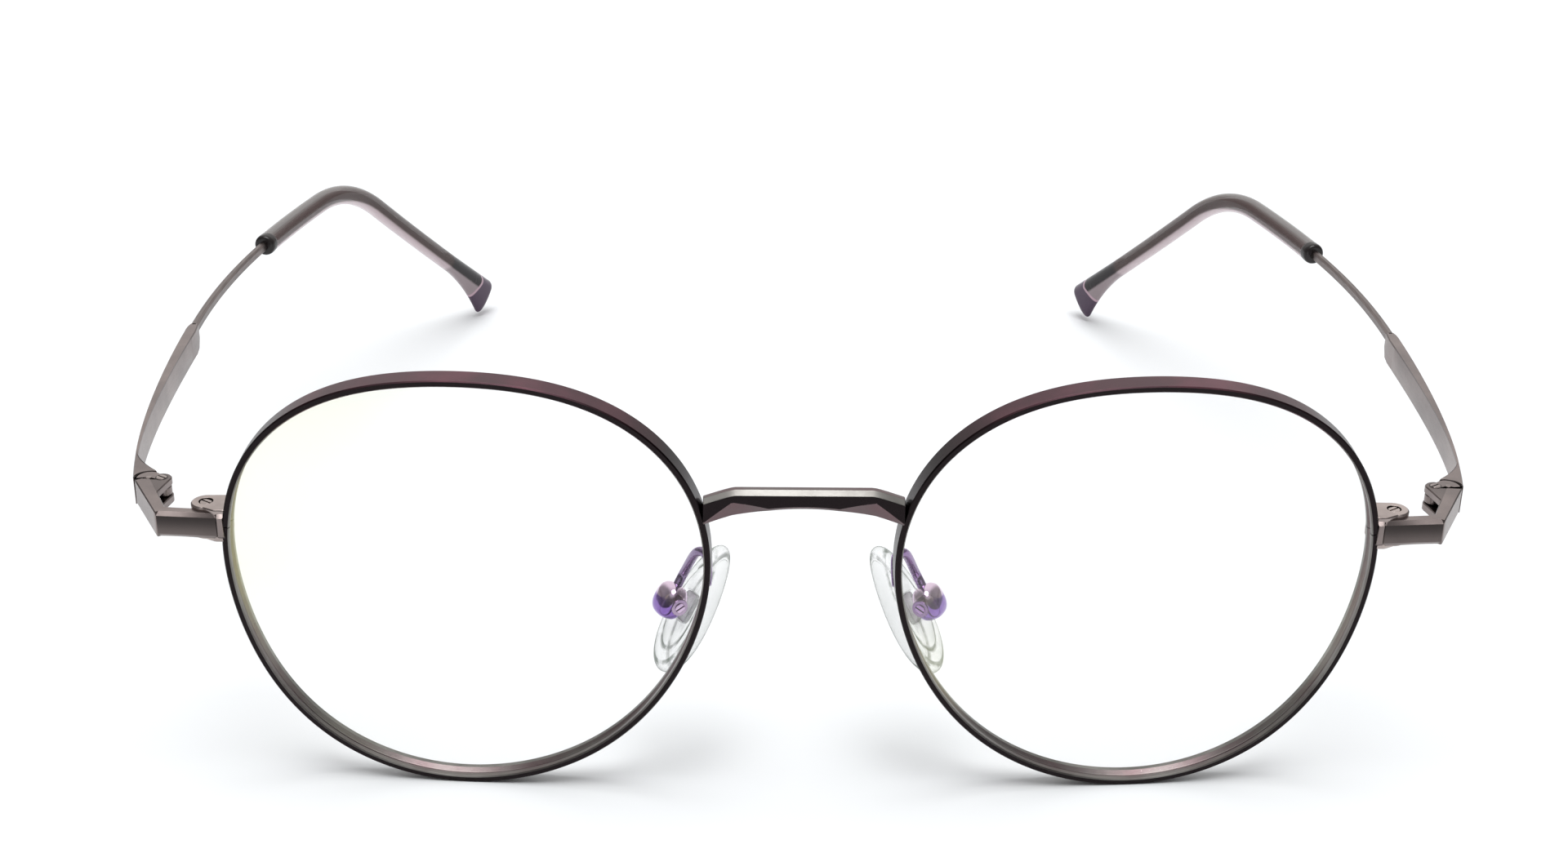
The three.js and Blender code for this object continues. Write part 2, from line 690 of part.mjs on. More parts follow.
function sleeveSection(distance) {
  const flare = THREE.MathUtils.clamp((distance - PADDLE_START) / (SLEEVE_END - PADDLE_START), 0, 1);
  const below = SLEEVE_RADIUS + (PADDLE_DROP - SLEEVE_RADIUS) * flare ** 2;
  const above = SLEEVE_RADIUS + (PADDLE_TOP - SLEEVE_RADIUS) * flare;
  return oval(SLEEVE_RADIUS - PADDLE_THINNING * flare, above, below, SLEEVE_SIDES);
}

function tipSleeve() {
  const skin = templeSkin(span(SLEEVE_START, SLEEVE_END, SLEEVE_STEPS), sleeveSection);
  const stations = [...coreStations().slice(0, -1), CORE_END + CORE_GAP];
  return cut(skin, templeSkin(stations, wireSection(CORE_GAP)));
}

// Nose pad, drawn flat: its length up Z, its soft face to +Y, its width along X.

function padPlacement() {
  const splayed = new THREE.Vector3(-Math.cos(PAD_SPLAY), Math.sin(PAD_SPLAY), 0);
  const facing = splayed.addScaledVector(PAD_RISE, -splayed.dot(PAD_RISE)).normalize();
  const across = new THREE.Vector3().crossVectors(facing, PAD_RISE);
  return new THREE.Matrix4().makeBasis(across, facing, PAD_RISE);
}

// A box centred on the pad's middle plane whose front face stands at `face`.
function block(width, depth, length, face) {
  return new THREE.BoxGeometry(width, depth, length).translate(0, face - depth / 2, 0);
}

function nosePad() {
  const egg = new THREE.SphereGeometry(1, PAD_SIDES, PAD_RINGS).rotateX(Math.PI / 2);
  const position = egg.attributes.position;
  for (let i = 0; i < position.count; i += 1) {
    const high = position.getZ(i);
    const depth = position.getY(i);
    const full = Math.sign(depth) * Math.abs(depth) ** PAD_FULLNESS;
    const across = position.getX(i) * (1 - PAD_TAPER * high);
    position.setXYZ(i, (across * PAD_WIDTH) / 2, (full * PAD_THICKNESS) / 2, (high * PAD_LENGTH) / 2);
  }
  const floor = INSERT_THICKNESS + FIT_GAP - INSERT_DEPTH;
  const seat = block(INSERT_WIDTH + 2 * FIT_GAP, PAD_THICKNESS, INSERT_LENGTH + 2 * FIT_GAP, floor);
  return cut(egg, seat);
}

function padInsert() {
  const plate = block(INSERT_WIDTH, INSERT_THICKNESS, INSERT_LENGTH, INSERT_THICKNESS - INSERT_DEPTH);
  const reach = PAD_PIVOT - INSERT_DEPTH + FIT_GAP;
  const stem = block(EYE_THICKNESS, reach, 2 * EYE_RADIUS, FIT_GAP - INSERT_DEPTH);
  const eye = crossPost(EYE_RADIUS, -EYE_THICKNESS / 2, EYE_THICKNESS / 2);
  return cut(join(plate, stem, eye), crossPost(PAD_SCREW_RADIUS + SCREW_GAP, -BOX_WIDTH, BOX_WIDTH));
}

function crossPost(radius, from, to) {
  const geometry = new THREE.CylinderGeometry(radius, radius, to - from, SCREW_SIDES);
  return geometry.rotateZ(Math.PI / 2).translate((from + to) / 2, -PAD_PIVOT, 0);
}

function boxOutline() {
  const shape = new THREE.Shape();
  const [x, z] = [BOX_WIDTH / 2 - BOX_ROUNDING, BOX_LENGTH / 2 - BOX_ROUNDING];
  shape.absarc(x, -z, BOX_ROUNDING, -Math.PI / 2, 0);
  shape.absarc(x, z, BOX_ROUNDING, 0, Math.PI / 2);
  shape.absarc(-x, z, BOX_ROUNDING, Math.PI / 2, Math.PI);
  shape.absarc(-x, -z, BOX_ROUNDING, Math.PI, Math.PI * 1.5);
  return shape;
}

function padBox() {
  const cup = slab(boxOutline(), 0, BOX_DEPTH, BOX_BEVEL, BOX_CORNER_STEPS);
  cup.rotateX(Math.PI / 2).translate(0, -BOX_FACE, 0);
  const floor = -PAD_PIVOT - EYE_RADIUS - BOX_MOUTH_END;
  const mouth = block(EYE_THICKNESS + 2 * EYE_GAP, -floor, BOX_MOUTH_HEIGHT, 0);
  const seat = PAD_HEAD_HEIGHT + SCREW_GAP - BOX_WIDTH / 2;
  return cut(
    cup,
    mouth,
    crossPost(PAD_SCREW_RADIUS + SCREW_GAP, -BOX_WIDTH, BOX_WIDTH),
    crossPost(PAD_HEAD_RADIUS + SCREW_GAP, -BOX_WIDTH, seat),
  );
}

function padScrew() {
  const end = BOX_WIDTH / 2 - SCREW_GAP;
  const shank = crossPost(PAD_SCREW_RADIUS, -end, end);
  const head = crossPost(PAD_HEAD_RADIUS, -end, PAD_HEAD_HEIGHT - end - SCREW_GAP);
  const slot = new THREE.BoxGeometry(2 * SLOT_DEPTH, SLOT_WIDTH, 4 * PAD_HEAD_RADIUS);
  slot.rotateX(SLOT_TURN).translate(-end, -PAD_PIVOT, 0);
  return cut(join(shank, head), slot);
}

function padArm() {
  const top = new THREE.Vector3(0, -BOX_FACE - BOX_DEPTH / 2, BOX_LENGTH / 2 + FIT_GAP);
  const entry = top.clone().applyMatrix4(padPlacement()).add(PAD_CENTRE);
  const above = entry.clone().addScaledVector(PAD_RISE, ARM_STANDOFF);
  const wire = new THREE.ExtrudeGeometry(disc(new THREE.Vector2(), ARM_RADIUS), {
    steps: ARM_STEPS,
    extrudePath: new THREE.CatmullRomCurve3([...ARM_BENDS, above, entry]),
    curveSegments: ARM_CORNER_STEPS,
  });
  return cut(wire, rimBody(FIT_GAP));
}

// The rim's own band of metal, a little enlarged.
function rimBody(gap) {
  const [outer, back] = [RIM_WIRE + gap, RIM_DEPTH + gap];
  const section = [[-gap, -gap], [outer, -gap], [outer, back], [-gap, back]];
  const rings = Array.from({ length: CLEARANCE_STEPS }, (_, i) => {
    const angle = (2 * Math.PI * i) / CLEARANCE_STEPS;
    return section.map(([offset, depth]) => rimPoint(angle, offset, depth));
  });
  const place = new THREE.Matrix4().makeRotationFromEuler(rimRotation()).setPosition(RIM_CENTRE);
  return loft(rings, true).applyMatrix4(place);
}

// Assembly.

function sided(side, name, geometry, material) {
  const mesh = new THREE.Mesh(side.sign > 0 ? geometry : mirrored(geometry), material());
  mesh.name = `${name}_${side.tag}`;
  return mesh;
}

function rimGroup(side) {
  const group = new THREE.Group();
  group.position.set(side.sign * RIM_CENTRE.x, RIM_CENTRE.y, RIM_CENTRE.z);
  group.rotation.set(RIM_TILT, 0, side.sign * RIM_WRAP);
  group.add(sided(side, 'rim', rim(), finishes.front));
  group.add(sided(side, 'lens', lens(), finishes.lens));
  return group;
}

function cornerGroup(side) {
  const group = new THREE.Group();
  const upper = lockHalf(LOCK_SPLIT + LOCK_SPLIT_GAP / 2, LOCK_TOP);
  const lower = lockHalf(LOCK_BOTTOM, LOCK_SPLIT - LOCK_SPLIT_GAP / 2);
  group.add(sided(side, 'end_piece', endPiece(), finishes.gunmetal));
  group.add(sided(side, 'hinge_stud', hingeStud(), finishes.screw));
  group.add(sided(side, 'rim_lock_top', upper, finishes.gunmetal));
  group.add(sided(side, 'rim_lock_bottom', lower, finishes.gunmetal));
  group.add(sided(side, 'rim_screw', lockScrew(), finishes.screw));
  return group;
}

function templeGroup(side) {
  const group = new THREE.Group();
  group.add(sided(side, 'hinge_screw', hingeScrew(), finishes.screw));
  group.add(sided(side, 'temple_bar', templeBar(), finishes.gunmetal));
  group.add(sided(side, 'temple_wire', templeWire(), finishes.gunmetal));
  group.add(sided(side, 'tip_ring', tipRing(), finishes.black));
  group.add(sided(side, 'tip_sleeve', tipSleeve(), finishes.acetate));
  return group;
}

function padGroup(side) {
  const group = new THREE.Group();
  const turn = new THREE.Quaternion().setFromRotationMatrix(padPlacement());
  group.position.set(side.sign * PAD_CENTRE.x, PAD_CENTRE.y, PAD_CENTRE.z);
  group.quaternion.set(turn.x, side.sign * turn.y, side.sign * turn.z, turn.w);
  group.add(sided(side, 'nose_pad', nosePad(), finishes.silicone));
  group.add(sided(side, 'pad_insert', padInsert(), finishes.silicone));
  group.add(sided(side, 'pad_box', padBox(), finishes.violet));
  group.add(sided(side, 'pad_screw', padScrew(), finishes.screw));
  return group;
}

function glasses() {
  const group = new THREE.Group();
  const middle = new THREE.Mesh(bridge(), finishes.front());
  middle.name = 'bridge';
  group.add(middle);
  for (const side of [{ tag: 'left', sign: 1 }, { tag: 'right', sign: -1 }]) {
    group.add(rimGroup(side), cornerGroup(side), templeGroup(side), padGroup(side));
    group.add(sided(side, 'pad_arm', padArm(), finishes.violet));
  }
  return centred(group);
}

// Moves the whole object so that the middle of its base is the origin.
function centred(group) {
  const box = new THREE.Box3().setFromObject(group, true);
  const middle = box.getCenter(new THREE.Vector3());
  group.position.set(-middle.x, -middle.y, -box.min.z);
  return group;
}

export default glasses();
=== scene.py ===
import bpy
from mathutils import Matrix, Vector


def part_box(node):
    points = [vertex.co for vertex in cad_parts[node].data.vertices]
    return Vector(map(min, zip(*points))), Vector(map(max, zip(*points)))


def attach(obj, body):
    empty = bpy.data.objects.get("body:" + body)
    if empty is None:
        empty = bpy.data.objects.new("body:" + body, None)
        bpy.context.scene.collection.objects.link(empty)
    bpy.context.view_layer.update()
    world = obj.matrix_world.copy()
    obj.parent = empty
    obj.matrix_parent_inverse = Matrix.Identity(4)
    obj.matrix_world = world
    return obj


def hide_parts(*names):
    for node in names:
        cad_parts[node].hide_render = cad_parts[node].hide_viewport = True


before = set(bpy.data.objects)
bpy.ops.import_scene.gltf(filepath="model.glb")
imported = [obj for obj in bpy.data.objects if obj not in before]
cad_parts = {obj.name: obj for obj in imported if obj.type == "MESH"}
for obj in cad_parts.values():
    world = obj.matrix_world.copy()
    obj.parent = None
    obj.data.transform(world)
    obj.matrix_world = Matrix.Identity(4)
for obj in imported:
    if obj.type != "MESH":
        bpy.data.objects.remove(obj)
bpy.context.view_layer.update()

import math

import bpy
import numpy as np
from bpy.props import FloatProperty, FloatVectorProperty, PointerProperty
from mathutils import Matrix

bl_info = {
    "name": "Round wire eyeglasses",
    "version": (1, 0, 0),
    "blender": (4, 5, 0),
    "location": "3D View > Sidebar > Glasses",
    "description": "Surfaces, finishes and studio for a pair of round wire eyeglasses",
    "category": "Object",
}

# Lengths below are millimetres in the maker's frame: the rims' centres at y = 0, the table at z = 0,
# the temples towards +Y and the wearer's left towards +X. Right-hand pieces mirror the left-hand ones.
MM = 0.001
SIDES = (("left", 1), ("right", -1))

# Rims: a round outline with a few harmonics, tilted and wrapped.
RIM_RADIUS = 24.1
RIM_SINES = ((3, 0.84), (2, -0.48))
RIM_COSINES = ((3, -0.2), (4, -0.33))
RIM_CENTRE_X = 34.13
RIM_TILT = math.radians(6)
RIM_WRAP = math.radians(3.8)
RIM_DEPTH = 2.2
RIM_WIRE = 0.73
RIM_EDGE = 0.14
SPLIT_ANGLE = math.radians(13.7)
SPLIT_GAP = 0.1
LENS_GAP = 0.12
LENS_RIDGE = 0.2

# The rims' upper outer faces get a painted aubergine sheen as the sine of the angle round them grows from the
# first to the second.
PLUM_SHEEN_FROM, PLUM_SHEEN_FULL = 0.6, 0.95

# Bridge. Its facet falls away from its tallest place over one run outwards and another inwards.
BRIDGE_TOP = 37.35
BRIDGE_ARCH_TOP = 35.35
BRIDGE_END_TOP = 35.75
BRIDGE_END_BOTTOM = 33.15
BRIDGE_FLAT = 6.6
BRIDGE_END_X = 11.0
BRIDGE_REACH = 9.95
BRIDGE_FRONT = -2.75
BRIDGE_DEPTH = 2.1
BRIDGE_TOP_WIDTH = 1.1
BRIDGE_BACK_FALL = 0.55
BRIDGE_BACK_CUT = 0.35
BRIDGE_TOP_ROUNDING = 0.5
FACET_RUN_OUT, FACET_RUN_IN = 2.7, 3.6
FACET_LEAN, FACET_LEAN_RISE = 0.18, 0.25

# Bars of the end pieces and the temples.
BAR_TOP = 32.6
BAR_BOTTOM = 29.8
BAR_THICKNESS = 1.25
END_INNER = np.array([58.52, 0.9])
END_CORNER = np.array([64.85, 1.4])
END_SWEEP = math.radians(27.5)
END_ARM_LENGTH = 8.6
END_INNER_TURN = 0.85
END_NECK_EXTRA = 0.35
KNUCKLE = np.array([67.4, 9.45])
KNUCKLE_RADIUS = 1.36
KNUCKLE_GAP = 0.16
HINGE = np.array([66.1, 9.5])
EAR_RADIUS = 1.05
EAR_WEB_OUTER = np.array([67.2, 6.4])
EAR_WEB_INNER = np.array([65.75, 6.2])
EAR_MIDDLE = np.array([66.45, 8.4])
EAR_START, EAR_FINISH = math.radians(54), math.radians(194)
SEAT_RADIUS = 0.66
SEAT_RISE = 0.012
TONGUE_RADIUS = 0.95
TONGUE_BOTTOM = 30.75
TONGUE_TOP = 31.65
TONGUE_TOWARD = np.array([0.5524, 0.8336])
TONGUE_LENGTH = 2.5
TONGUE_HALF_WIDTH = 0.5
TONGUE_GAP = 0.08
LOCK_CENTRE = np.array([60.1, 3.25])
LOCK_RADIUS = 1.5
LOCK_TOP = 33.0
LOCK_BOTTOM = 29.4
LOCK_SPLIT = 31.1
LOCK_SPLIT_HALF = 0.04
LOCK_WALL = 0.12
LOCK_INNER_X, LOCK_STEP_X, LOCK_STEP = 57.8, 59.0, 0.6
LOCK_POCKET_RADIUS, LOCK_POCKET_DEPTH = 0.72, 0.5

# Screws: shank radius, head radius, head height, and how far the head stands over the face round it.
HINGE_SCREW = (0.4, 0.55, 0.4, 0.06)
LOCK_SCREW = (0.42, 0.62, 0.6, -0.06)
PAD_SCREW = (0.35, 0.55, 0.42, 0.12)
PAD_SEAT_RADIUS, PAD_SEAT_HEIGHT = 0.92, 0.4
PAD_SCREW_SINK = 0.36
SCREW_TURN = 0.6
SCREW_EDGE = 0.07
STUD_RADIUS, STUD_DEPTH, STUD_RISE = 0.33, 0.6, 0.05

# Temples. The bar's outlines in plan are Bezier curves with these control points, then their ends.
TEMPLE_BOTTOM = 29.5
BAR_END_Y = 52.3
BAR_START_GAP = 0.12
BAR_OUTER = ((72.6, 24.0), (73.2, 51.3))
BAR_OUTER_END = ((73.12, 51.9), (73.0, BAR_END_Y))
BAR_EYE = ((66.95, 11.01), (67.3, 11.45), (69.3, 12.9), (69.9, 15.0))
BAR_INNER = ((69.9, 15.0), (71.9, 26.0), (71.8, 49.8))
BAR_INNER_END = ((71.9, 51.3), (72.0, BAR_END_Y))
BAR_SOCKET_FINISH = math.radians(106)
BAR_FRONT_Y = 16.0
BAR_HEEL_RUN, BAR_HEEL_RISE = 1.5, 1.25
WIRE_LEVEL = 32.0
BEND_START = 47.1
BEND_RADIUS = 23.6
BEND_ANGLE = math.radians(41.6)
PLAN_DISTANCES = np.array([0.0, 26.0, 50.0, 97.0])
PLAN_OFFSETS = np.array([72.5, 72.9, 67.0, 48.5])
RING_START = 29.3
RING_LENGTH = 1.8
SLEEVE_START = 30.8
SLEEVE_END = 98.1
SLEEVE_CLOSE = 1.1
SLEEVE_CAP_FALL, SLEEVE_CAP_THINNING = 0.42, 0.8
PADDLE_START = 86.0
PADDLE_RISE, PADDLE_THINNING = 0.15, 0.12
RING_ROLL = 0.42
CORE_END = 94.0
CORE_FLAT_START = 85.5
CORE_FLAT_RUN = 1.4
CORE_WIDENING = 0.1
CORE_ROUND = 0.8

# Nose pads: x runs across the pad, y out of its soft face and z up its length. The pocket, insert, tab and
# mouth are rounded rectangles: half width, half height and the power that rounds them.
PAD_CENTRE = np.array([11.3, 8.1, 18.3])
PAD_RISE = np.array([-6.6, 4.0, 12.5])
PAD_SPLAY = math.radians(27)
PAD_PIVOT = 2.75
BOX_FACE = 1.6
BOX_DEPTH = 2.9
BOX_LENGTH = 3.8
BOX_WIDTH = 3.8
BOX_POWER, BOX_CORNER_POWER = 2.7, 2.6
BOX_FLOOR = -3.4
POCKET = (1.2, 1.7, 5)
INSERT = (1.12, 1.62, 5)
TAB = (0.45, 0.85, 4)
MOUTH = (0.58, 1.12, 6)
PAD_ROUNDING = 0.16
PAD_SIDE_HEIGHT = 0.86
ARM_BENDS = ((9.6, 0.95, 25.0), (9.55, 2.0, 26.0), (9.75, 3.8, 26.9), (10.8, 5.3, 26.4))

# The camera stands in front of the bridge, a little to the wearer's right.
CAMERA_PLACE = np.array([-5.54, -198.78, 133.04])

# A direction up and a little back: a swept piece's `band` is how far each side of it turns that way.
# The ear tips paint a reflection band and a lit band by it.
SKYWARD = np.array([0.0, 0.41, 0.91])

# The packed part's frame is the maker's frame moved by this much.
SHIFT = np.array([
    0.0,
    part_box("temple_bar_left")[1].y / MM - BAR_END_Y,
    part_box("bridge")[1].z / MM - BRIDGE_TOP,
])

# ---------------------------------------------------------------------------------------------
# Surfaces
# ---------------------------------------------------------------------------------------------


class Skin:
    """Points in millimetres and the faces between them.

    Each point has its distance `along` the piece and its height `band` in the section, each face a number
    that the finishes read as painted shade and, on the plating, as its colour.
    """

    def __init__(self, points, faces, along, band, tone):
        self.points, self.faces, self.along, self.band, self.tone = points, faces, along, band, tone

    def __add__(self, other):
        """Both skins as one."""
        offset = len(self.points)
        faces = self.faces + [f + offset for f in other.faces]
        return Skin(
            np.vstack([self.points, other.points]),
            faces,
            np.concatenate([self.along, other.along]),
            np.concatenate([self.band, other.band]),
            np.concatenate([self.tone, other.tone]),
        )

    def outward(self):
        """The skin with its faces outwards: the sum of p . (q x r) over its triangles is made positive."""
        volume = 0.0
        for block in self.faces:
            corners = self.points[block]
            for k in range(1, block.shape[1] - 1):
                normal = np.cross(corners[:, k], corners[:, k + 1])
                volume += np.einsum("ij,ij->", corners[:, 0], normal)
        if volume < 0:
            self.faces = [block[:, ::-1] for block in self.faces]
        return self

    def mirrored(self):
        """The skin on the other side of the plane x = 0."""
        points = self.points * np.array([-1.0, 1.0, 1.0])
        faces = [block[:, ::-1] for block in self.faces]
        return Skin(points, faces, self.along, self.band, self.tone)


def loft(rings, along=None, tones=None, band=None):
    """Quads from ring i, point k to ring i + 1, point k + 1, with a fan of triangles on each open end.

    rings has the shape (rings, points, 3). along gives a number per ring and band one per point of a ring, or
    per point. tones gives a number per strip of faces from point k to point k + 1, or per ring and strip.
    """
    rings = np.asarray(rings, float)
    count, size = rings.shape[:2]
    along = np.zeros(count) if along is None else np.asarray(along, float)
    band = np.broadcast_to(0.0 if band is None else band, (count, size)).ravel()
    tones = np.zeros(size) if tones is None else np.asarray(tones, float)
    tones = np.broadcast_to(tones, (count - 1, size))
    row = np.arange(count - 1)[:, None]
    here = row * size + np.arange(size)[None, :]
    beside = row * size + (np.arange(size)[None, :] + 1) % size
    quads = np.stack([here, beside, beside + size, here + size], -1).reshape(-1, 4)
    middle = count * size
    around = np.arange(size)
    after = (around + 1) % size
    first = np.stack([np.full(size, middle), after, around], -1)
    last = np.stack([np.full(size, middle + 1), around + middle - size, after + middle - size], -1)
    points = np.vstack([rings.reshape(-1, 3), rings[0].mean(0), rings[-1].mean(0)])
    return Skin(
        points,
        [quads, np.vstack([first, last])],
        np.concatenate([np.repeat(along, size), along[[0, -1]]]),
        np.concatenate([band, [0, 0]]),
        np.concatenate([tones.ravel(), tones[0], tones[-1]]),
    ).outward()


def bezier(controls, count):
    """A Bezier curve of any degree, by repeated mixing of neighbouring control points: (1 - t) p + t q."""
    t = np.linspace(0, 1, count)[:, None]
    level = [np.repeat(np.asarray(c, float)[None, :], count, 0) for c in controls]
    while len(level) > 1:
        level = [(1 - t) * p + t * q for p, q in zip(level, level[1:])]
    return level[0]


def arc(centre, radius, start, finish, count):
    """Points at centre + radius (cos a, sin a) for a running evenly from start to finish."""
    angle = np.linspace(start, finish, count)
    return np.asarray(centre) + radius * np.stack([np.cos(angle), np.sin(angle)], -1)


def line(start, finish, count):
    """Points spaced evenly from start to finish."""
    t = np.linspace(0, 1, count)[:, None]
    return (1 - t) * np.asarray(start, float) + t * np.asarray(finish, float)


def respaced(path, count):
    """The same path with its points spaced evenly by its own length."""
    steps = np.linalg.norm(np.diff(path, axis=0), axis=1)
    length = np.concatenate([[0], np.cumsum(steps)])
    wanted = np.linspace(0, length[-1], count)
    return np.stack([np.interp(wanted, length, path[:, k]) for k in range(path.shape[1])], -1)


def chamfered(width, height, cut):
    """The eight corners of a rectangle width by height, each corner cut off by `cut`."""
    x, z = width / 2, height / 2
    a, b = np.minimum(cut, 0.48 * width), np.minimum(cut, 0.48 * height)
    return np.stack([
        np.stack([x, -z + b], -1), np.stack([x, z - b], -1),
        np.stack([x - a, z], -1), np.stack([-x + a, z], -1),
        np.stack([-x, z - b], -1), np.stack([-x, -z + b], -1),
        np.stack([-x + a, -z], -1), np.stack([x - a, -z], -1),
    ], -2)


def ribbon(inner, outer, bottom, top, cut_outer, cut_inner, tones=None):
    """Section i stands between inner[i] and outer[i] in plan and between bottom[i] and top[i] in height.

    Its corners are cut off by cut_outer[i] on the outer side and cut_inner[i] on the inner side.
    """
    count = len(inner)
    bottom, top, cut_outer, cut_inner = (
        np.broadcast_to(np.asarray(v, float), count) for v in (bottom, top, cut_outer, cut_inner)
    )
    across = outer - inner
    width = np.linalg.norm(across, axis=1)
    a = np.minimum(cut_outer, 0.45 * width) / width
    b = np.minimum(cut_inner, 0.45 * width) / width
    lift_a, lift_b = a * width, b * width
    share = np.stack([1 - a, np.ones(count), np.ones(count), 1 - a, b, 0 * b, 0 * b, b], -1)
    height = np.stack([
        bottom, bottom + lift_a, top - lift_a, top, top, top - lift_b, bottom + lift_b, bottom,
    ], -1)
    plan = inner[:, None, :] + share[..., None] * across[:, None, :]
    return loft(np.concatenate([plan, height[..., None]], -1), tones=tones)


def slab(outline, centre, bottom, top, cut, hole=0.0, sink=0.0):
    """A plan outline raised from bottom to top. Its rims draw in by `cut` along rays to the centre.

    With a hole, the top has a round pocket of that radius about the centre, `sink` deep.
    """
    rays = outline - centre
    reach = np.linalg.norm(rays, axis=1)[:, None]
    inset = centre + rays * (1 - cut / reach)
    pocket = centre + rays / reach * max(hole, 0.01)
    levels = [(inset, bottom), (outline, bottom + cut), (outline, top - cut), (inset, top)]
    if hole:
        levels += [(pocket, top), (pocket, top - sink)]
    rings = [np.column_stack([plan, np.full(len(plan), z)]) for plan, z in levels]
    # Painted shade: the cut edges darker and the pocket darker still.
    tones = np.zeros((len(levels) - 1, len(outline)))
    tones[[0, 2]] = 0.4
    tones[4:] = 1.0
    return loft(rings, tones=tones)


def polar(centre, outline, count):
    """The outline in `count` even directions from the centre, each as far as its outermost crossing."""
    angle = np.linspace(0, 2 * np.pi, count, endpoint=False)
    direction = np.stack([np.cos(angle), np.sin(angle)], -1)
    start = outline - centre
    edge = np.roll(start, -1, 0) - start
    cross = direction[:, None, 0] * edge[None, :, 1] - direction[:, None, 1] * edge[None, :, 0]
    cross = np.where(np.abs(cross) < 1e-9, 1e-9, cross)
    reach = (start[:, 0] * edge[:, 1] - start[:, 1] * edge[:, 0])[None, :] / cross
    along = start[None, :, 0] * direction[:, None, 1] - start[None, :, 1] * direction[:, None, 0]
    share = along / cross
    hit = np.where((share >= -1e-6) & (share <= 1 + 1e-6) & (reach > 1e-6), reach, np.inf)
    distance = np.where(np.isfinite(hit), hit, 0).max(1)
    return centre + direction * distance[:, None]


def tube(path, section, along=None, tones=None, up=(0, 0, 1)):
    """Carries a section along a path. section is (points, 2), or (stations, points, 2) where it changes.

    Its first number runs along tangent x up and its second along up, made square to the tangent.
    """
    path = np.asarray(path, float)
    tangent = np.gradient(path, axis=0)
    tangent /= np.linalg.norm(tangent, axis=1)[:, None]
    up = np.broadcast_to(np.asarray(up, float), path.shape)
    up = up - np.einsum("ij,ij->i", up, tangent)[:, None] * tangent
    up = up / np.linalg.norm(up, axis=1)[:, None]
    side = np.cross(tangent, up)
    section = np.broadcast_to(section, (len(path),) + np.shape(section)[-2:])
    reach = section[..., :1] * side[:, None, :] + section[..., 1:] * up[:, None, :]
    band = (reach / np.linalg.norm(reach, axis=-1, keepdims=True)) @ SKYWARD
    return loft(path[:, None, :] + reach, along, tones, band)


def squircle(half_width, half_height, power, count):
    """A rounded rectangle: half sizes times the signed 2 / power powers of cos and sin."""
    angle = np.linspace(0, 2 * np.pi, count, endpoint=False)
    x, z = np.cos(angle), np.sin(angle)
    return np.stack([
        half_width * np.sign(x) * np.abs(x) ** (2 / power),
        half_height * np.sign(z) * np.abs(z) ** (2 / power),
    ], -1)


def slotted_disc(radius, bottom, top, slot_width, slot_depth, edge):
    """A screw head as sections across its slot: at a distance y from the middle the half length is
    sqrt(radius^2 - y^2), and the top drops by slot_depth while |y| is under half the slot's width."""
    half = slot_width / 2
    y = np.concatenate([
        -radius * np.cos(np.linspace(0.02, 1, 9) * np.arccos(half / radius)),
        [-half, half],
        radius * np.cos(np.linspace(1, 0.02, 9) * np.arccos(half / radius)),
    ])
    drop = np.zeros(len(y))
    drop[9:11] = slot_depth
    length = np.sqrt(np.maximum(radius**2 - y**2, 1e-6))
    crown = edge * (np.abs(y) / radius) ** 4
    height = top - bottom - drop - crown
    section = chamfered(2 * length, height, edge * 0.7)
    rings = np.stack([
        section[..., 0],
        np.broadcast_to(y[:, None], section.shape[:2]),
        section[..., 1] + bottom + height[:, None] / 2,
    ], -1)
    return loft(rings)


def turned(skin, angle):
    """The skin turned about the Z axis: (x cos a - y sin a, x sin a + y cos a, z)."""
    c, s = math.cos(angle), math.sin(angle)
    skin.points = skin.points @ np.array([[c, -s, 0], [s, c, 0], [0, 0, 1]]).T
    return skin


def moved(skin, offset):
    """The skin with every point moved by the same offset."""
    skin.points = skin.points + np.asarray(offset, float)
    return skin


# ---------------------------------------------------------------------------------------------
# Placing the maker's shapes
# ---------------------------------------------------------------------------------------------


def rim_radius(angle):
    """The mean radius plus the outline's sine and cosine harmonics."""
    return (
        RIM_RADIUS
        + sum(size * np.sin(order * angle) for order, size in RIM_SINES)
        + sum(size * np.cos(order * angle) for order, size in RIM_COSINES)
    )


def rim_turn():
    """The rim plane's turn: wrapped about Z, then tilted about X."""
    tilt = np.array(Matrix.Rotation(RIM_TILT, 3, "X"))
    wrap = np.array(Matrix.Rotation(RIM_WRAP, 3, "Z"))
    return tilt @ wrap


def rim_centre():
    """The left rim's centre, at the height that stands its lowest edge on the table."""
    angle = np.linspace(0, 2 * np.pi, 721)
    radius = rim_radius(angle) + RIM_WIRE
    edge = np.stack([radius * np.cos(angle), np.full(721, RIM_EDGE), radius * np.sin(angle)], -1)
    return np.array([RIM_CENTRE_X, 0.0, -(edge @ rim_turn().T)[:, 2].min()])


def in_rim(angle, offset, depth):
    """Points in the rim: `offset` outside the lens outline at that angle, `depth` behind the front."""
    radius = rim_radius(angle) + offset
    flat = np.stack([radius * np.cos(angle), depth + 0 * radius, radius * np.sin(angle)], -1)
    return flat @ rim_turn().T + rim_centre()


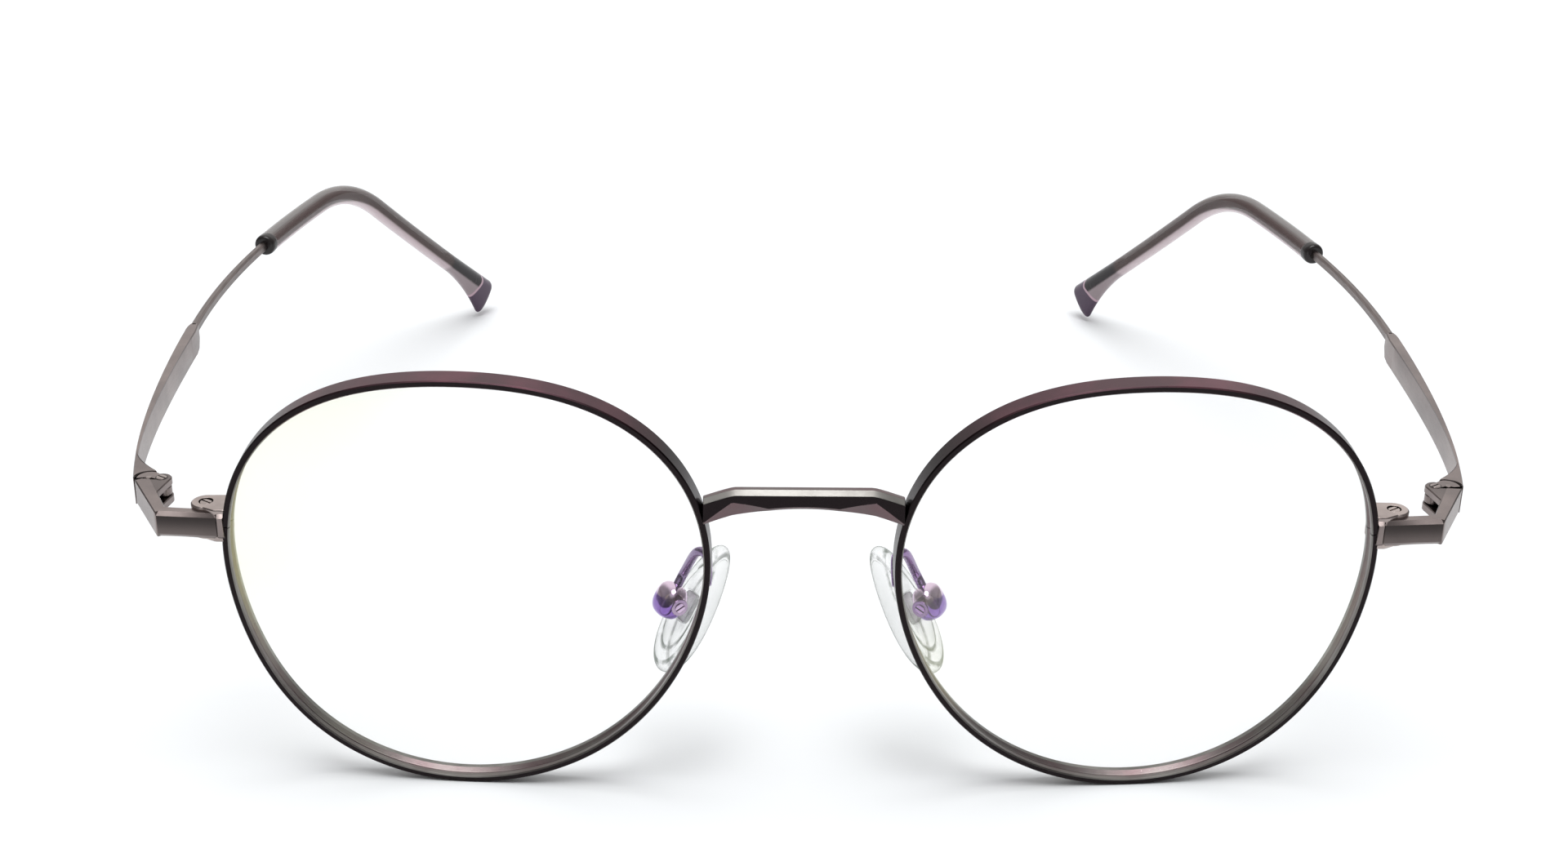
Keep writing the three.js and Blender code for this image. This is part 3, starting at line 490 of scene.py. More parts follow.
def temple_path(distance):
    """The left temple's centreline at a distance behind the bar.

    In plan it follows a cubic curve. From the side it is level, turns down on a radius, then runs straight.
    """
    t = np.linspace(0, 1.1, 2201)
    basis = np.stack([(1 - t) ** 3, 3 * (1 - t) ** 2 * t, 3 * (1 - t) * t**2, t**3], -1)
    t_here = np.interp(distance, basis @ PLAN_DISTANCES, t)
    x = np.interp(t_here, t, basis @ PLAN_OFFSETS)
    bend = np.clip((distance - BEND_START) / BEND_RADIUS, 0, BEND_ANGLE)
    rest = np.maximum(distance - BEND_START - BEND_RADIUS * BEND_ANGLE, 0)
    y = BAR_END_Y + np.minimum(distance, BEND_START) + BEND_RADIUS * np.sin(bend) + rest * np.cos(bend)
    z = WIRE_LEVEL - BEND_RADIUS * (1 - np.cos(bend)) - rest * np.sin(bend)
    return np.stack([x, y, z], -1)


def pad_axes():
    """Rows: across the left pad, out of its face, up its length."""
    rise = PAD_RISE / np.linalg.norm(PAD_RISE)
    splayed = np.array([-math.cos(PAD_SPLAY), math.sin(PAD_SPLAY), 0.0])
    facing = splayed - (splayed @ rise) * rise
    facing /= np.linalg.norm(facing)
    return np.stack([np.cross(facing, rise), facing, rise])


def on_pad(skin):
    """Takes a skin drawn on the flat pad to the left pad's place."""
    skin.points = skin.points @ pad_axes() + PAD_CENTRE
    return skin


# ---------------------------------------------------------------------------------------------
# Finishes
# ---------------------------------------------------------------------------------------------


class Field:
    """A socket that takes part in Python arithmetic: each operator adds its Math node."""

    def __init__(self, finish, socket):
        self.finish, self.socket = finish, socket

    def _math(self, operation, *terms):
        return self.finish.node("ShaderNodeMath", {"operation": operation}, dict(enumerate(terms)))

    def __add__(self, other):
        return self._math("ADD", self, other)

    def __sub__(self, other):
        return self._math("SUBTRACT", self, other)

    def __rsub__(self, other):
        return self._math("SUBTRACT", other, self)

    def __mul__(self, other):
        return self._math("MULTIPLY", self, other)

    def __pow__(self, other):
        return self._math("POWER", self, other)

    __radd__ = __add__
    __rmul__ = __mul__

    def clamped(self):
        """The value held between 0 and 1."""
        return self._math("MINIMUM", self._math("MAXIMUM", self, 0.0), 1.0)

    def step(self, low, high):
        """0 below low, 1 above high, smooth between."""
        return self.finish.node(
            "ShaderNodeMapRange",
            {"interpolation_type": "SMOOTHSTEP"},
            {"Value": self, "From Min": low, "From Max": high, "To Min": 0.0, "To Max": 1.0},
        )


class Finish:
    """One procedural material, or the world, built node by node."""

    def __init__(self, name, tree=None, **constants):
        if tree is None:
            self.material = bpy.data.materials.new(name)
            self.material.use_nodes = True
            tree = self.material.node_tree
            self.shader = tree.nodes["Principled BSDF"]
            for socket, value in constants.items():
                self.shader.inputs[socket.replace("_", " ")].default_value = value
        self.tree = tree

    def node(self, kind, settings=None, inputs=None, output=0):
        """A node of that kind with its settings made first and its sockets filled or linked."""
        made = self.tree.nodes.new(kind)
        for key, value in (settings or {}).items():
            setattr(made, key, value)
        for key, value in (inputs or {}).items():
            self.join(made.inputs[key], value)
        return Field(self, made.outputs[output])

    def join(self, socket, value):
        """Links a field to a socket, or sets a constant on it."""
        if isinstance(value, Field):
            self.tree.links.new(value.socket, socket)
        else:
            socket.default_value = value

    def feed(self, **fields):
        """Links fields to the shader's own sockets."""
        for name, value in fields.items():
            self.join(self.shader.inputs[name.replace("_", " ")], value)

    def number(self, name):
        """A number stored on the mesh."""
        return self.node("ShaderNodeAttribute", {"attribute_name": name}, output="Fac")

    def place(self):
        """Object coordinates, in metres."""
        return self.node("ShaderNodeTexCoord", output="Object")

    def noise(self, scale, detail=3.0, stretch=(1, 1, 1)):
        """Noise at `scale` cells per metre, stretched along the axes."""
        spread = self.node(
            "ShaderNodeMapping", {"vector_type": "POINT"}, {"Vector": self.place(), "Scale": stretch}
        )
        settings = {"noise_dimensions": "3D"}
        inputs = {"Vector": spread, "Scale": scale, "Detail": detail, "Roughness": 0.55}
        return self.node("ShaderNodeTexNoise", settings, inputs)

    def mix(self, factor, first, second):
        """The colour first where factor is 0 and second where it is 1."""
        return self.node(
            "ShaderNodeMix", {"data_type": "RGBA"}, {0: factor, 6: rgba(first), 7: rgba(second)}, output=2
        )

    def bump(self, height, strength, distance):
        """A normal from a height field."""
        return self.node(
            "ShaderNodeBump", {}, {"Height": height, "Strength": strength, "Distance": distance}
        )

    def facing(self, blend):
        """Near 0 where the surface faces the eye and 1 at its outline."""
        return self.node("ShaderNodeLayerWeight", {}, {"Blend": blend}, output="Facing")


def rgba(colour):
    """A colour with full alpha; a field passes through."""
    return colour if isinstance(colour, Field) else (*tuple(colour)[:3], 1.0)


def plated_finish(settings):
    """Dark plating where the tone is 0, aubergine where it is a half and lighter bare metal where it is 1."""
    look = Finish("plum_plating", Metallic=1.0)
    tone = look.number("tone")
    cloud = look.noise(160.0)
    grain = look.noise(5200.0, 2.0)
    warm = look.mix(cloud.step(0.35, 0.7), settings.plum, settings.plum_warm)
    # Near-black is the dark plating painted darker still as shade on front and lower faces; aubergine is a
    # painted sheen near the rims' tops; bare metal is real inside the rims and a painted highlight on the
    # bridge's top cut and the rims' lower inner cut.
    bare = look.mix(cloud.step(0.3, 0.7), settings.inside, settings.inside_dark)
    plated = look.mix((tone * 2.0).clamped(), settings.front, warm)
    look.feed(
        Base_Color=look.mix((tone * 2.0 - 1.0).clamped(), plated, bare),
        Roughness=settings.roughness + 0.1 * grain + 0.08 * tone,
        Normal=look.bump(grain, 0.16, 0.00002),
    )
    return look.material


def satin_finish(name, colour, shade, roughness, coat=0.0):
    """Satin metal: a fine blasted grain, slow clouds of a second shade and faint long rubbing marks.

    Where a face is marked 1 it is painted in shade, much darker, most of all near the top of the bars.
    """
    look = Finish(name, Metallic=1.0)
    axes = look.node("ShaderNodeSeparateXYZ", {}, {"Vector": look.place()})
    # The painted shade is strongest near the top of the bars.
    high = Field(look, axes.socket.node.outputs["Z"]).step(BAR_BOTTOM * MM, (BAR_TOP - 0.5) * MM)
    tone = look.number("tone") * (0.5 + 0.5 * high)
    grain = look.noise(6500.0, 2.0)
    cloud = look.noise(120.0, 4.0)
    rub = look.noise(900.0, 2.0, (6.0, 0.25, 6.0))
    light = look.mix(cloud.step(0.35, 0.68), colour, shade)
    look.feed(
        Base_Color=look.mix(tone, light, [c * 0.25 for c in shade]),
        Roughness=roughness + 0.12 * grain + 0.1 * (rub - 0.5),
        Normal=look.bump(grain + 0.6 * rub, 0.14, 0.00002),
    )
    look.shader.inputs["Coat Weight"].default_value = coat
    return look.material


def cup_finish(settings):
    """Violet plating that pales to pink over its upper half, with slow swirls."""
    look = Finish("violet_plating", Metallic=1.0)
    grain = look.noise(4500.0, 2.0)
    swirl = look.noise(420.0, 2.0)
    # Painted highlight: the upper half pales to pink-lilac as if lit from above.
    upper = (look.number("band") + 0.9 * (swirl - 0.5)).step(-0.15, 0.45)
    look.feed(
        Base_Color=look.mix(upper, settings.violet, settings.cup_top),
        Roughness=0.11 + 0.08 * grain,
        Normal=look.bump(grain + 2.0 * swirl, 0.1, 0.00004),
    )
    look.shader.inputs["Coat Weight"].default_value = 0.5
    return look.material


def lens_finish(settings):
    """A clear lens: nearly no body, a mirror-like skin towards its outline, faint coloured clouds."""
    look = Finish("clear_lens", Roughness=0.03, IOR=1.5)
    # Painted light: the tint and clouds glow by emission, most at the outline, though the lens is no lamp.
    look.shader.inputs["Emission Strength"].default_value = settings.painted_glow
    cloud = look.noise(26.0, 1.0).step(0.45, 0.75)
    skin = look.facing(0.22)
    look.feed(
        Base_Color=look.mix(cloud, settings.tint, settings.cloud),
        Emission_Color=look.mix(cloud, settings.tint, settings.cloud),
        Alpha=(0.008 + settings.body * cloud + 0.5 * skin**3.0).clamped(),
    )
    return look.material


def silicone_finish(settings):
    """Clear soft silicone: see-through face on, grey-green at its outlines and along its moulded edges."""
    look = Finish("clear_silicone", IOR=1.41)
    share = look.number("along")
    haze = look.noise(700.0, 3.0)
    edge = look.facing(0.5) ** 2.0
    inner = share.step(0.61, 0.65) * (1.0 - share.step(0.67, 0.72))
    outer = share.step(0.84, 0.87) * (1.0 - share.step(0.9, 0.95))
    lines = (inner + outer) * haze.step(0.3, 0.6)
    dark = (edge.step(0.1, 0.6) + lines).clamped()
    look.feed(
        Base_Color=look.mix(dark, settings.silicone, settings.silicone_edge),
        Roughness=0.06 + 0.08 * haze,
        Alpha=(0.05 + 0.05 * haze + 0.95 * edge + 0.6 * lines).clamped(),
        Normal=look.bump(haze, 0.12, 0.0001),
    )
    return look.material


def sleeve_finish(settings):
    """Tinted plastic with the wire dark in it, greyer above and pinker below, plum past the wire's end.

    A pale line follows the wire's rounded end: distance along = end - 0.7 band^2. The pink edge narrows
    behind the bend, and the film is near black over the wire's flat end.
    """
    look = Finish("tinted_sleeve", IOR=1.46)
    look.shader.inputs["Specular IOR Level"].default_value = 0.3
    along, band = look.number("along"), look.number("band")
    swirl = look.noise(260.0, 2.0)
    past = along + 0.7 * band * band + 0.3 * swirl - CORE_END
    line = past.step(0.15, 0.35) * (1.0 - past.step(0.65, 0.85))
    plum = past.step(0.1, 0.5)
    rim = along.step(SLEEVE_END - 0.7, SLEEVE_END - 0.35)
    # Painted light: the grey band above is a painted reflection and the pale pink band below is painted light
    # through the tip, set by which way each side faces.
    above = band.step(0.5, 0.85)
    behind = along.step(SLEEVE_START + 14.0, SLEEVE_START + 24.0)
    below = (0.0 - band - 0.32 * behind).step(0.22, 0.45)
    clear = look.mix(above, look.mix(below, settings.sleeve, settings.sleeve_lower_lit_band), settings.sleeve_upper_reflection_band)
    dense = look.mix(line, look.mix(rim, settings.paddle, settings.paddle_rim), settings.core_tip)
    pressed = along.step(CORE_FLAT_START - 0.8, CORE_FLAT_START + 0.4) * (1.0 - 0.5 * below)
    clear = look.mix(pressed, clear, settings.core_flat)
    film = 0.62 + 0.18 * above + 0.14 * below + 0.25 * pressed
    look.feed(
        Base_Color=look.mix(plum, clear, dense),
        Roughness=0.06 + 0.06 * swirl,
        Alpha=(film + 0.15 * look.facing(0.4) + plum).clamped(),
        Normal=look.bump(swirl, 0.05, 0.0001),
    )
    return look.material


def wire_finish(metal, settings):
    """The temple wire: satin metal outside, plum-brown inside the sleeve and near black at its flat end."""
    look = Finish("temple_wire_metal", Metallic=1.0)
    along = look.number("along")
    grain = look.noise(6500.0, 2.0)
    rub = look.noise(900.0, 2.0, (6.0, 0.25, 6.0))
    inside = along.step(RING_START, SLEEVE_START)
    flat = along.step(CORE_FLAT_START - 0.5, CORE_FLAT_START + 0.5)
    tip = along.step(CORE_END - 0.6, CORE_END - 0.35)
    bare = look.mix(rub.step(0.35, 0.7), [c * 0.7 for c in metal.colour], [c * 0.7 for c in metal.shade])
    buried = look.mix(flat, settings.core, settings.core_flat)
    look.feed(
        Base_Color=look.mix(inside, bare, look.mix(tip, buried, settings.core_tip)),
        Roughness=metal.roughness + 0.12 * grain + 0.35 * inside,
        Metallic=1.0 - 0.85 * inside,
        Normal=look.bump(grain + 0.6 * rub, 0.14, 0.00002),
    )
    return look.material


# ---------------------------------------------------------------------------------------------
# Putting pieces in the scene
# ---------------------------------------------------------------------------------------------


def add_piece(name, skin, material, body, nodes, edge=0.0, sharp=32.0):
    """Makes the object of one skin, breaks its sharp edges by `edge` and ties it to its body."""
    mesh = bpy.data.meshes.new(name)
    faces = [face for block in skin.faces for face in block.tolist()]
    mesh.from_pydata(((skin.points + SHIFT) * MM).tolist(), [], faces)
    for key, domain in (("along", "POINT"), ("band", "POINT"), ("tone", "FACE")):
        values = getattr(skin, key).astype(np.float32)
        mesh.attributes.new(key, "FLOAT", domain).data.foreach_set("value", values)
    mesh.shade_smooth()
    mesh.set_sharp_from_angle(angle=math.radians(sharp))
    mesh.materials.append(material)
    made = bpy.data.objects.new(name, mesh)
    bpy.context.scene.collection.objects.link(made)
    if edge:
        bevel = made.modifiers.new("edge_break", "BEVEL")
        bevel.width = edge * MM
        bevel.segments = 2
        bevel.limit_method = "ANGLE"
        bevel.angle_limit = math.radians(sharp)
        bevel.harden_normals = True
    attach(made, body)
    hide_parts(*nodes)


def add_pair(name, skin, material, body, nodes, edge=0.0, sharp=32.0):
    """Adds the left piece from its skin and the right one from its mirror image."""
    for tag, sign in SIDES:
        add_piece(
            f"{name}_{tag}",
            skin if sign > 0 else skin.mirrored(),
            material,
            body if body == "front" else f"{body}_{tag}",
            [f"{node}_{tag}" for node in nodes],
            edge,
            sharp,
        )


# ---------------------------------------------------------------------------------------------
# Front
# ---------------------------------------------------------------------------------------------


def rim_skin(settings):
    """The rim's section carried round the lens outline from one face of its split to the other.

    The section is a rectangle, wire by depth, with its corners cut and a V groove in its inner side. Each
    side's number goes from foot to crown as the sine of the angle grows between the two limits of the plum
    sheen.
    """
    wire, cut = settings.wire / MM, settings.corner / MM
    groove, mouth = settings.groove / MM, settings.groove_mouth / MM
    middle = RIM_DEPTH / 2
    section = np.array([
        [cut, 0], [wire - cut, 0], [wire, cut], [wire, RIM_DEPTH - cut],
        [wire - cut, RIM_DEPTH], [cut, RIM_DEPTH], [0, RIM_DEPTH - cut],
        [0, middle + mouth], [groove, middle], [0, middle - mouth], [0, cut],
    ])
    # Per strip, at the top and at the foot: the near-black front is painted shade, aubergine on the outer
    # faces at the top is a painted sheen, the darker groove is painted shade, and the pale inner front cut at
    # the foot is a painted highlight line.
    crown = np.array([0, 0.3, 0.52, 0.45, 0.4, 0.5, 1, 0.78, 0.7, 0.85, 0.2])
    foot = np.array([0, 0, 0.03, 0.06, 0.3, 0.6, 1, 0.76, 0.72, 0.9, 0.95])
    half = SPLIT_GAP / 2 / RIM_RADIUS
    angle = SPLIT_ANGLE + half + np.linspace(0, 2 * np.pi - 2 * half, 361)
    rings = in_rim(angle[:, None], section[None, :, 0], section[None, :, 1])
    up = np.clip((np.sin(angle[:-1]) - PLUM_SHEEN_FROM) / (PLUM_SHEEN_FULL - PLUM_SHEEN_FROM), 0, 1)[:, None]
    return loft(rings, tones=foot + (crown - foot) * up)


def lens_skin(settings):
    """Two domes over the lens outline that meet in a ridge, which sits in the rim's groove.

    At the share s of the radius a dome stands at y = edge - bulge (1 - s^2).
    """
    share = np.linspace(0.03, 1, 22)
    reach = RIM_DEPTH / 2
    half = settings.edge / MM / 2
    front = reach - half - settings.front_bulge / MM * (1 - share**2)
    back = reach + half - settings.back_bulge / MM * (1 - share**2)
    angle = np.linspace(0, 2 * np.pi, 200, endpoint=False)[None, :]

    def dome(depths, shares):
        depths, shares = depths[:, None], shares[:, None]
        radius = (rim_radius(angle) - LENS_GAP) * shares
        flat = np.stack([radius * np.cos(angle), depths + 0 * radius, radius * np.sin(angle)], -1)
        return flat @ rim_turn().T + rim_centre()

    apex = in_rim(angle, np.array([[LENS_RIDGE]]), np.array([[reach]]))
    return loft(np.concatenate([dome(front, share), apex, dome(back[::-1], share[::-1])]))


def bridge_skin(settings):
    """A bar along x. Its top is flat and falls away at both ends, its underside arches.

    The front has a cut along its top and, under a ridge, a facet that leans back, tallest near the ends.
    """
    x = np.linspace(-BRIDGE_REACH, BRIDGE_REACH, 121)
    over = np.maximum(np.abs(x) - BRIDGE_FLAT, 0)
    slope = (BRIDGE_TOP - BRIDGE_END_TOP) / (BRIDGE_END_X - BRIDGE_FLAT)
    fall = slope * (np.sqrt(over**2 + BRIDGE_TOP_ROUNDING) - math.sqrt(BRIDGE_TOP_ROUNDING))
    top = BRIDGE_TOP - fall
    bottom = BRIDGE_END_BOTTOM + (BRIDGE_ARCH_TOP - BRIDGE_END_BOTTOM) * (1 - (x / BRIDGE_END_X) ** 2)
    cut = settings.top_cut / MM + 0 * x
    past = np.abs(x) - settings.facet_place / MM
    swell = np.clip(1 - np.where(past > 0, past / FACET_RUN_OUT, -past / FACET_RUN_IN), 0, 1)
    facet = settings.facet_middle / MM + (settings.facet_end - settings.facet_middle) / MM * swell
    lean = FACET_LEAN + FACET_LEAN_RISE * facet
    front, back = BRIDGE_FRONT + 0 * x, BRIDGE_FRONT + BRIDGE_DEPTH + 0 * x
    y = np.stack([
        front + lean, front, front, front + cut,
        front + BRIDGE_TOP_WIDTH, back, back, back - BRIDGE_BACK_CUT,
    ], -1)
    z = np.stack([
        bottom, bottom + facet, top - cut, top,
        top, top - BRIDGE_BACK_FALL, bottom + BRIDGE_BACK_CUT, bottom,
    ], -1)
    rings = np.stack([np.broadcast_to(x[:, None], y.shape), y, z], -1)
    # Painted light per strip: the front face near-black as shade, the top cut pale as a highlight, the facet,
    # top and back in between.
    return loft(rings, tones=[0.66, 0, 0.97, 0.72, 0.4, 0.3, 0.3, 0.3])


def end_outlines():
    """The end piece's inner and outer outlines in plan, point for point.

    The outer one runs along the front face, round the corner, up the arm and round the knuckle. The inner one
    runs behind them. They meet at the knuckle's far end.
    """
    along = np.array([math.sin(END_SWEEP), math.cos(END_SWEEP)])
    across = np.array([-math.cos(END_SWEEP), math.sin(END_SWEEP)])
    front = (END_CORNER - END_INNER) / np.linalg.norm(END_CORNER - END_INNER)
    behind = np.array([-front[1], front[0]])
    outer = END_CORNER + along * END_ARM_LENGTH
    turn = END_CORNER + across * BAR_THICKNESS + along * END_INNER_TURN
    neck = outer + across * (BAR_THICKNESS + END_NECK_EXTRA)
    outside = np.vstack([
        [END_INNER - 0.55 * front + 0.1 * behind, END_INNER - 0.45 * front - 0.1 * behind],
        [END_INNER + 0.08 * front - 0.1 * behind, END_INNER + 0.16 * front + 0.06 * behind],
        line(END_INNER + 0.22 * front, END_CORNER - 0.1 * front, 6),
        [END_CORNER + 0.04 * behind],
        line(END_CORNER + 0.12 * along, outer - 0.3 * along, 12),
        arc(KNUCKLE, KNUCKLE_RADIUS, -0.1, np.pi / 2, 14),
    ])
    inside = np.vstack([
        [END_INNER - 0.5 * front + 0.7 * behind, END_INNER - 0.4 * front + behind * BAR_THICKNESS],
        line(END_INNER + behind * BAR_THICKNESS + 0.42 * front, turn - 0.15 * front, 8),
        [turn],
        line(turn + 0.15 * along, neck - 0.2 * along, 12),
        arc(KNUCKLE, KNUCKLE_RADIUS, np.pi + 0.35, np.pi / 2 + 0.02, 14),
    ])
    return inside, outside


def end_piece_skin(settings):
    """The bar from the rim round the corner to the knuckle, with the two ears of the hinge and a dark seat.

    The bar's front face is painted dark as shade from its inner bead to the corner, and so is the knuckle's
    round wall.
    """
    inside, outside = end_outlines()
    bead, corner, knuckle = 2, 10, 13
    place = np.arange(len(inside))
    cut = np.where(place < corner, settings.front_cut / MM, settings.side_cut / MM)
    # Painted shade per strip: partial on the cuts under the bar, the inner top cut and the bottom, full on
    # the front face and the knuckle's wall.
    tones = np.tile([0.5, 0.0, 0.0, 0.0, 0.5, 0.1, 0.5, 0.3], (len(inside) - 1, 1))
    tones[bead:corner - 1, 1] = 1.0
    tones[bead, 1:3] = 1.0
    tones[corner:, 2] = 0.4
    tones[-knuckle:, [1, 2, 4, 5]] = 1.0
    bar = ribbon(inside, outside, BAR_BOTTOM, BAR_TOP, cut, settings.side_cut / MM, tones)
    ear = np.vstack([
        line(EAR_WEB_INNER, EAR_WEB_OUTER, 8)[:-1],
        line(EAR_WEB_OUTER, KNUCKLE, 8)[:-1],
        arc(HINGE, EAR_RADIUS, EAR_START, EAR_FINISH, 24),
    ])
    ear = polar(EAR_MIDDLE, ear, 64)
    lower = slab(ear, EAR_MIDDLE, BAR_BOTTOM, TONGUE_BOTTOM - TONGUE_GAP, 0.1)
    upper = slab(ear, EAR_MIDDLE, TONGUE_TOP + TONGUE_GAP, BAR_TOP - 0.02, 0.12)
    round_seat = arc(HINGE, SEAT_RADIUS, 0, 2 * np.pi * 47 / 48, 48)
    seat = slab(round_seat, HINGE, BAR_TOP - 0.1, BAR_TOP + SEAT_RISE, 0.03)
    # The seat is painted dark as shade round the hinge screw's head.
    seat.tone[:] = 1.0
    return bar + lower + upper + seat


def lock_outline():
    """The lock block in plan: a half round behind the end piece, straight sides to the rim."""
    front, back = LOCK_CENTRE[1] - LOCK_RADIUS, LOCK_CENTRE[1] + LOCK_RADIUS
    return np.vstack([
        arc(LOCK_CENTRE, LOCK_RADIUS, -np.pi / 2, np.pi / 2, 40),
        [[LOCK_INNER_X, back], [LOCK_INNER_X, front - LOCK_STEP], [LOCK_STEP_X, front - LOCK_STEP]],
    ])


def screw_skin(centre, sizes, bottom, face, settings):
    """A slotted head over a round shank that reaches down to `bottom`. `face` is the level round the head."""
    shank, head, height, stand = sizes
    top = face + stand
    slot = settings.slot_width / MM, settings.slot_depth / MM
    disc = slotted_disc(head, top - height, top, *slot, SCREW_EDGE)
    ring = squircle(shank, shank, 2, 20)
    levels = [bottom, top - height + 0.02]
    stem = loft([np.column_stack([ring, np.full(20, z)]) for z in levels])
    return moved(turned(disc, SCREW_TURN) + stem, [*centre, 0.0])


# ---------------------------------------------------------------------------------------------
# Temples
# ---------------------------------------------------------------------------------------------


def bar_outlines():
    """The temple bar's inner and outer outlines in plan: round the hollow at the knuckle, then to the end."""
    socket = KNUCKLE_RADIUS + KNUCKLE_GAP
    start = (KNUCKLE[0] + socket + BAR_START_GAP, KNUCKLE[1])
    outer = np.vstack([bezier([start, *BAR_OUTER], 60), BAR_OUTER_END])
    hollow = arc(KNUCKLE, socket, 0, BAR_SOCKET_FINISH, 16)
    eye = bezier(BAR_EYE, 14)
    back = np.vstack([bezier(BAR_INNER, 50), BAR_INNER_END])
    inner = np.vstack([hollow, eye, back[1:]])
    outer_start = outer[outer[:, 1] < BAR_FRONT_Y]
    outer_rest = outer[outer[:, 1] >= BAR_FRONT_Y]
    first = respaced(np.vstack([outer_start, outer_rest[:1]]), len(hollow) + len(eye))
    rest = respaced(np.vstack([first[-1:], outer_rest]), len(back))[1:]
    return inner, np.vstack([first, rest])


def bar_skin(settings):
    """The bar between its two outlines and its hinge tongue. Its underside turns up at the far end.

    The heel there rises by 1 - sqrt(1 - s^2) of its full rise at the share s of its run. The hollow is
    painted dark as shade.
    """
    inner, outer = bar_outlines()
    y = (inner[:, 1] + outer[:, 1]) / 2
    share = np.clip((y - (BAR_END_Y - BAR_HEEL_RUN)) / BAR_HEEL_RUN, 0, 0.995)
    bottom = TEMPLE_BOTTOM + BAR_HEEL_RISE * (1 - np.sqrt(1 - share**2))
    cut = settings.bar_cut / MM
    hollow = 14
    # Painted shade per strip: partial on the cuts and the bottom, full in the hollow round the knuckle.
    tones = np.tile([0.4, 0.0, 0.3, 0.0, 0.5, 0.0, 0.4, 0.3], (len(inner) - 1, 1))
    tones[:hollow, [4, 5]] = 1.0
    bar = ribbon(inner, outer, bottom, BAR_TOP, cut, cut, tones)
    across = np.array([-TONGUE_TOWARD[1], TONGUE_TOWARD[0]]) * TONGUE_HALF_WIDTH
    far = HINGE + TONGUE_TOWARD * TONGUE_LENGTH
    heading = math.atan2(TONGUE_TOWARD[1], TONGUE_TOWARD[0])
    spread = math.asin(TONGUE_HALF_WIDTH / TONGUE_RADIUS)
    outline = np.vstack([
        arc(HINGE, TONGUE_RADIUS, heading + spread, heading - spread + 2 * np.pi, 30),
        [far - across, far + across],
    ])
    tongue = slab(polar(HINGE, outline, 60), HINGE, TONGUE_BOTTOM, TONGUE_TOP, 0.08)
    return bar + tongue


def wire_skin(settings):
    """A chamfered wire along the temple, pressed tall and flat at its far end."""
    distance = np.concatenate([np.linspace(-0.3, BEND_START, 60), np.linspace(BEND_START, CORE_END, 70)[1:]])
    flat = np.clip((distance - CORE_FLAT_START) / CORE_FLAT_RUN, 0, 1)
    flat = flat * flat * (3 - 2 * flat)
    width = settings.wire_width / MM + CORE_WIDENING * flat
    height = settings.wire_height / MM + flat * (settings.core_height - settings.wire_height) / MM
    tip = np.clip((distance - (CORE_END - CORE_ROUND)) / CORE_ROUND, 0, 0.98)
    height = height * np.sqrt(1 - tip**2)
    section = chamfered(width, height, settings.wire_cut / MM)
    return tube(temple_path(distance), section, along=distance)


def oval_sections(half_width, above, below, count):
    """Sections half_width cos a wide and above or below times sin a high, for each station."""
    angle = np.linspace(0, 2 * np.pi, count, endpoint=False)[None, :]
    high = np.sin(angle)
    half_width, above, below = (v[:, None] for v in (half_width, above, below))
    return np.stack([half_width * np.cos(angle), high * np.where(high > 0, above, below)], -1)


def ring_skin(settings):
    """A band with rolled edges: radius r - e (1 - sqrt(1 - s^4)) where s runs from -1 to 1 along it."""
    share = np.sin(np.linspace(-np.pi / 2, np.pi / 2, 19))
    radius = settings.ring_radius / MM - RING_ROLL * (1 - np.sqrt(np.maximum(1 - share**4, 0)))
    distance = RING_START + RING_LENGTH * (share + 1) / 2
    return tube(temple_path(distance), oval_sections(radius, radius, radius, 40), along=distance)


def sleeve_skin(settings):
    """The ear tip: round up to the flare, then deepening downwards with the square of the distance.

    The last stretch closes on a quarter circle.
    """
    closing = SLEEVE_END - SLEEVE_CLOSE
    distance = np.concatenate([
        np.linspace(SLEEVE_START, closing, 120),
        closing + SLEEVE_CLOSE * np.sin(np.linspace(0, np.pi / 2, 12))[1:],
    ])
    share = np.clip((distance - PADDLE_START) / (SLEEVE_END - PADDLE_START), 0, 1)
    radius = settings.sleeve_radius / MM
    below = radius + (settings.paddle_drop / MM - radius) * share**2
    above = radius + PADDLE_RISE * share
    rolled = np.clip((distance - closing) / SLEEVE_CLOSE, 0, 0.999)
    turned_in = 1 - np.sqrt(1 - rolled**2)
    cap = 1 - SLEEVE_CAP_FALL * turned_in
    wide = (radius - PADDLE_THINNING * share) * (1 - SLEEVE_CAP_THINNING * turned_in)
    sections = oval_sections(wide, above * cap, below * cap, 44)
    return tube(temple_path(distance), sections, along=distance)


# ---------------------------------------------------------------------------------------------
# Nose
# ---------------------------------------------------------------------------------------------


def pad_outline(settings, count):
    """A teardrop: half width cos a (1 - taper sin a), half length sin a."""
    angle = np.linspace(0, 2 * np.pi, count, endpoint=False)
    wide = settings.pad_width / MM / 2 * np.cos(angle) * (1 - settings.pad_taper * np.sin(angle))
    return np.stack([wide, settings.pad_length / MM / 2 * np.sin(angle)], -1)


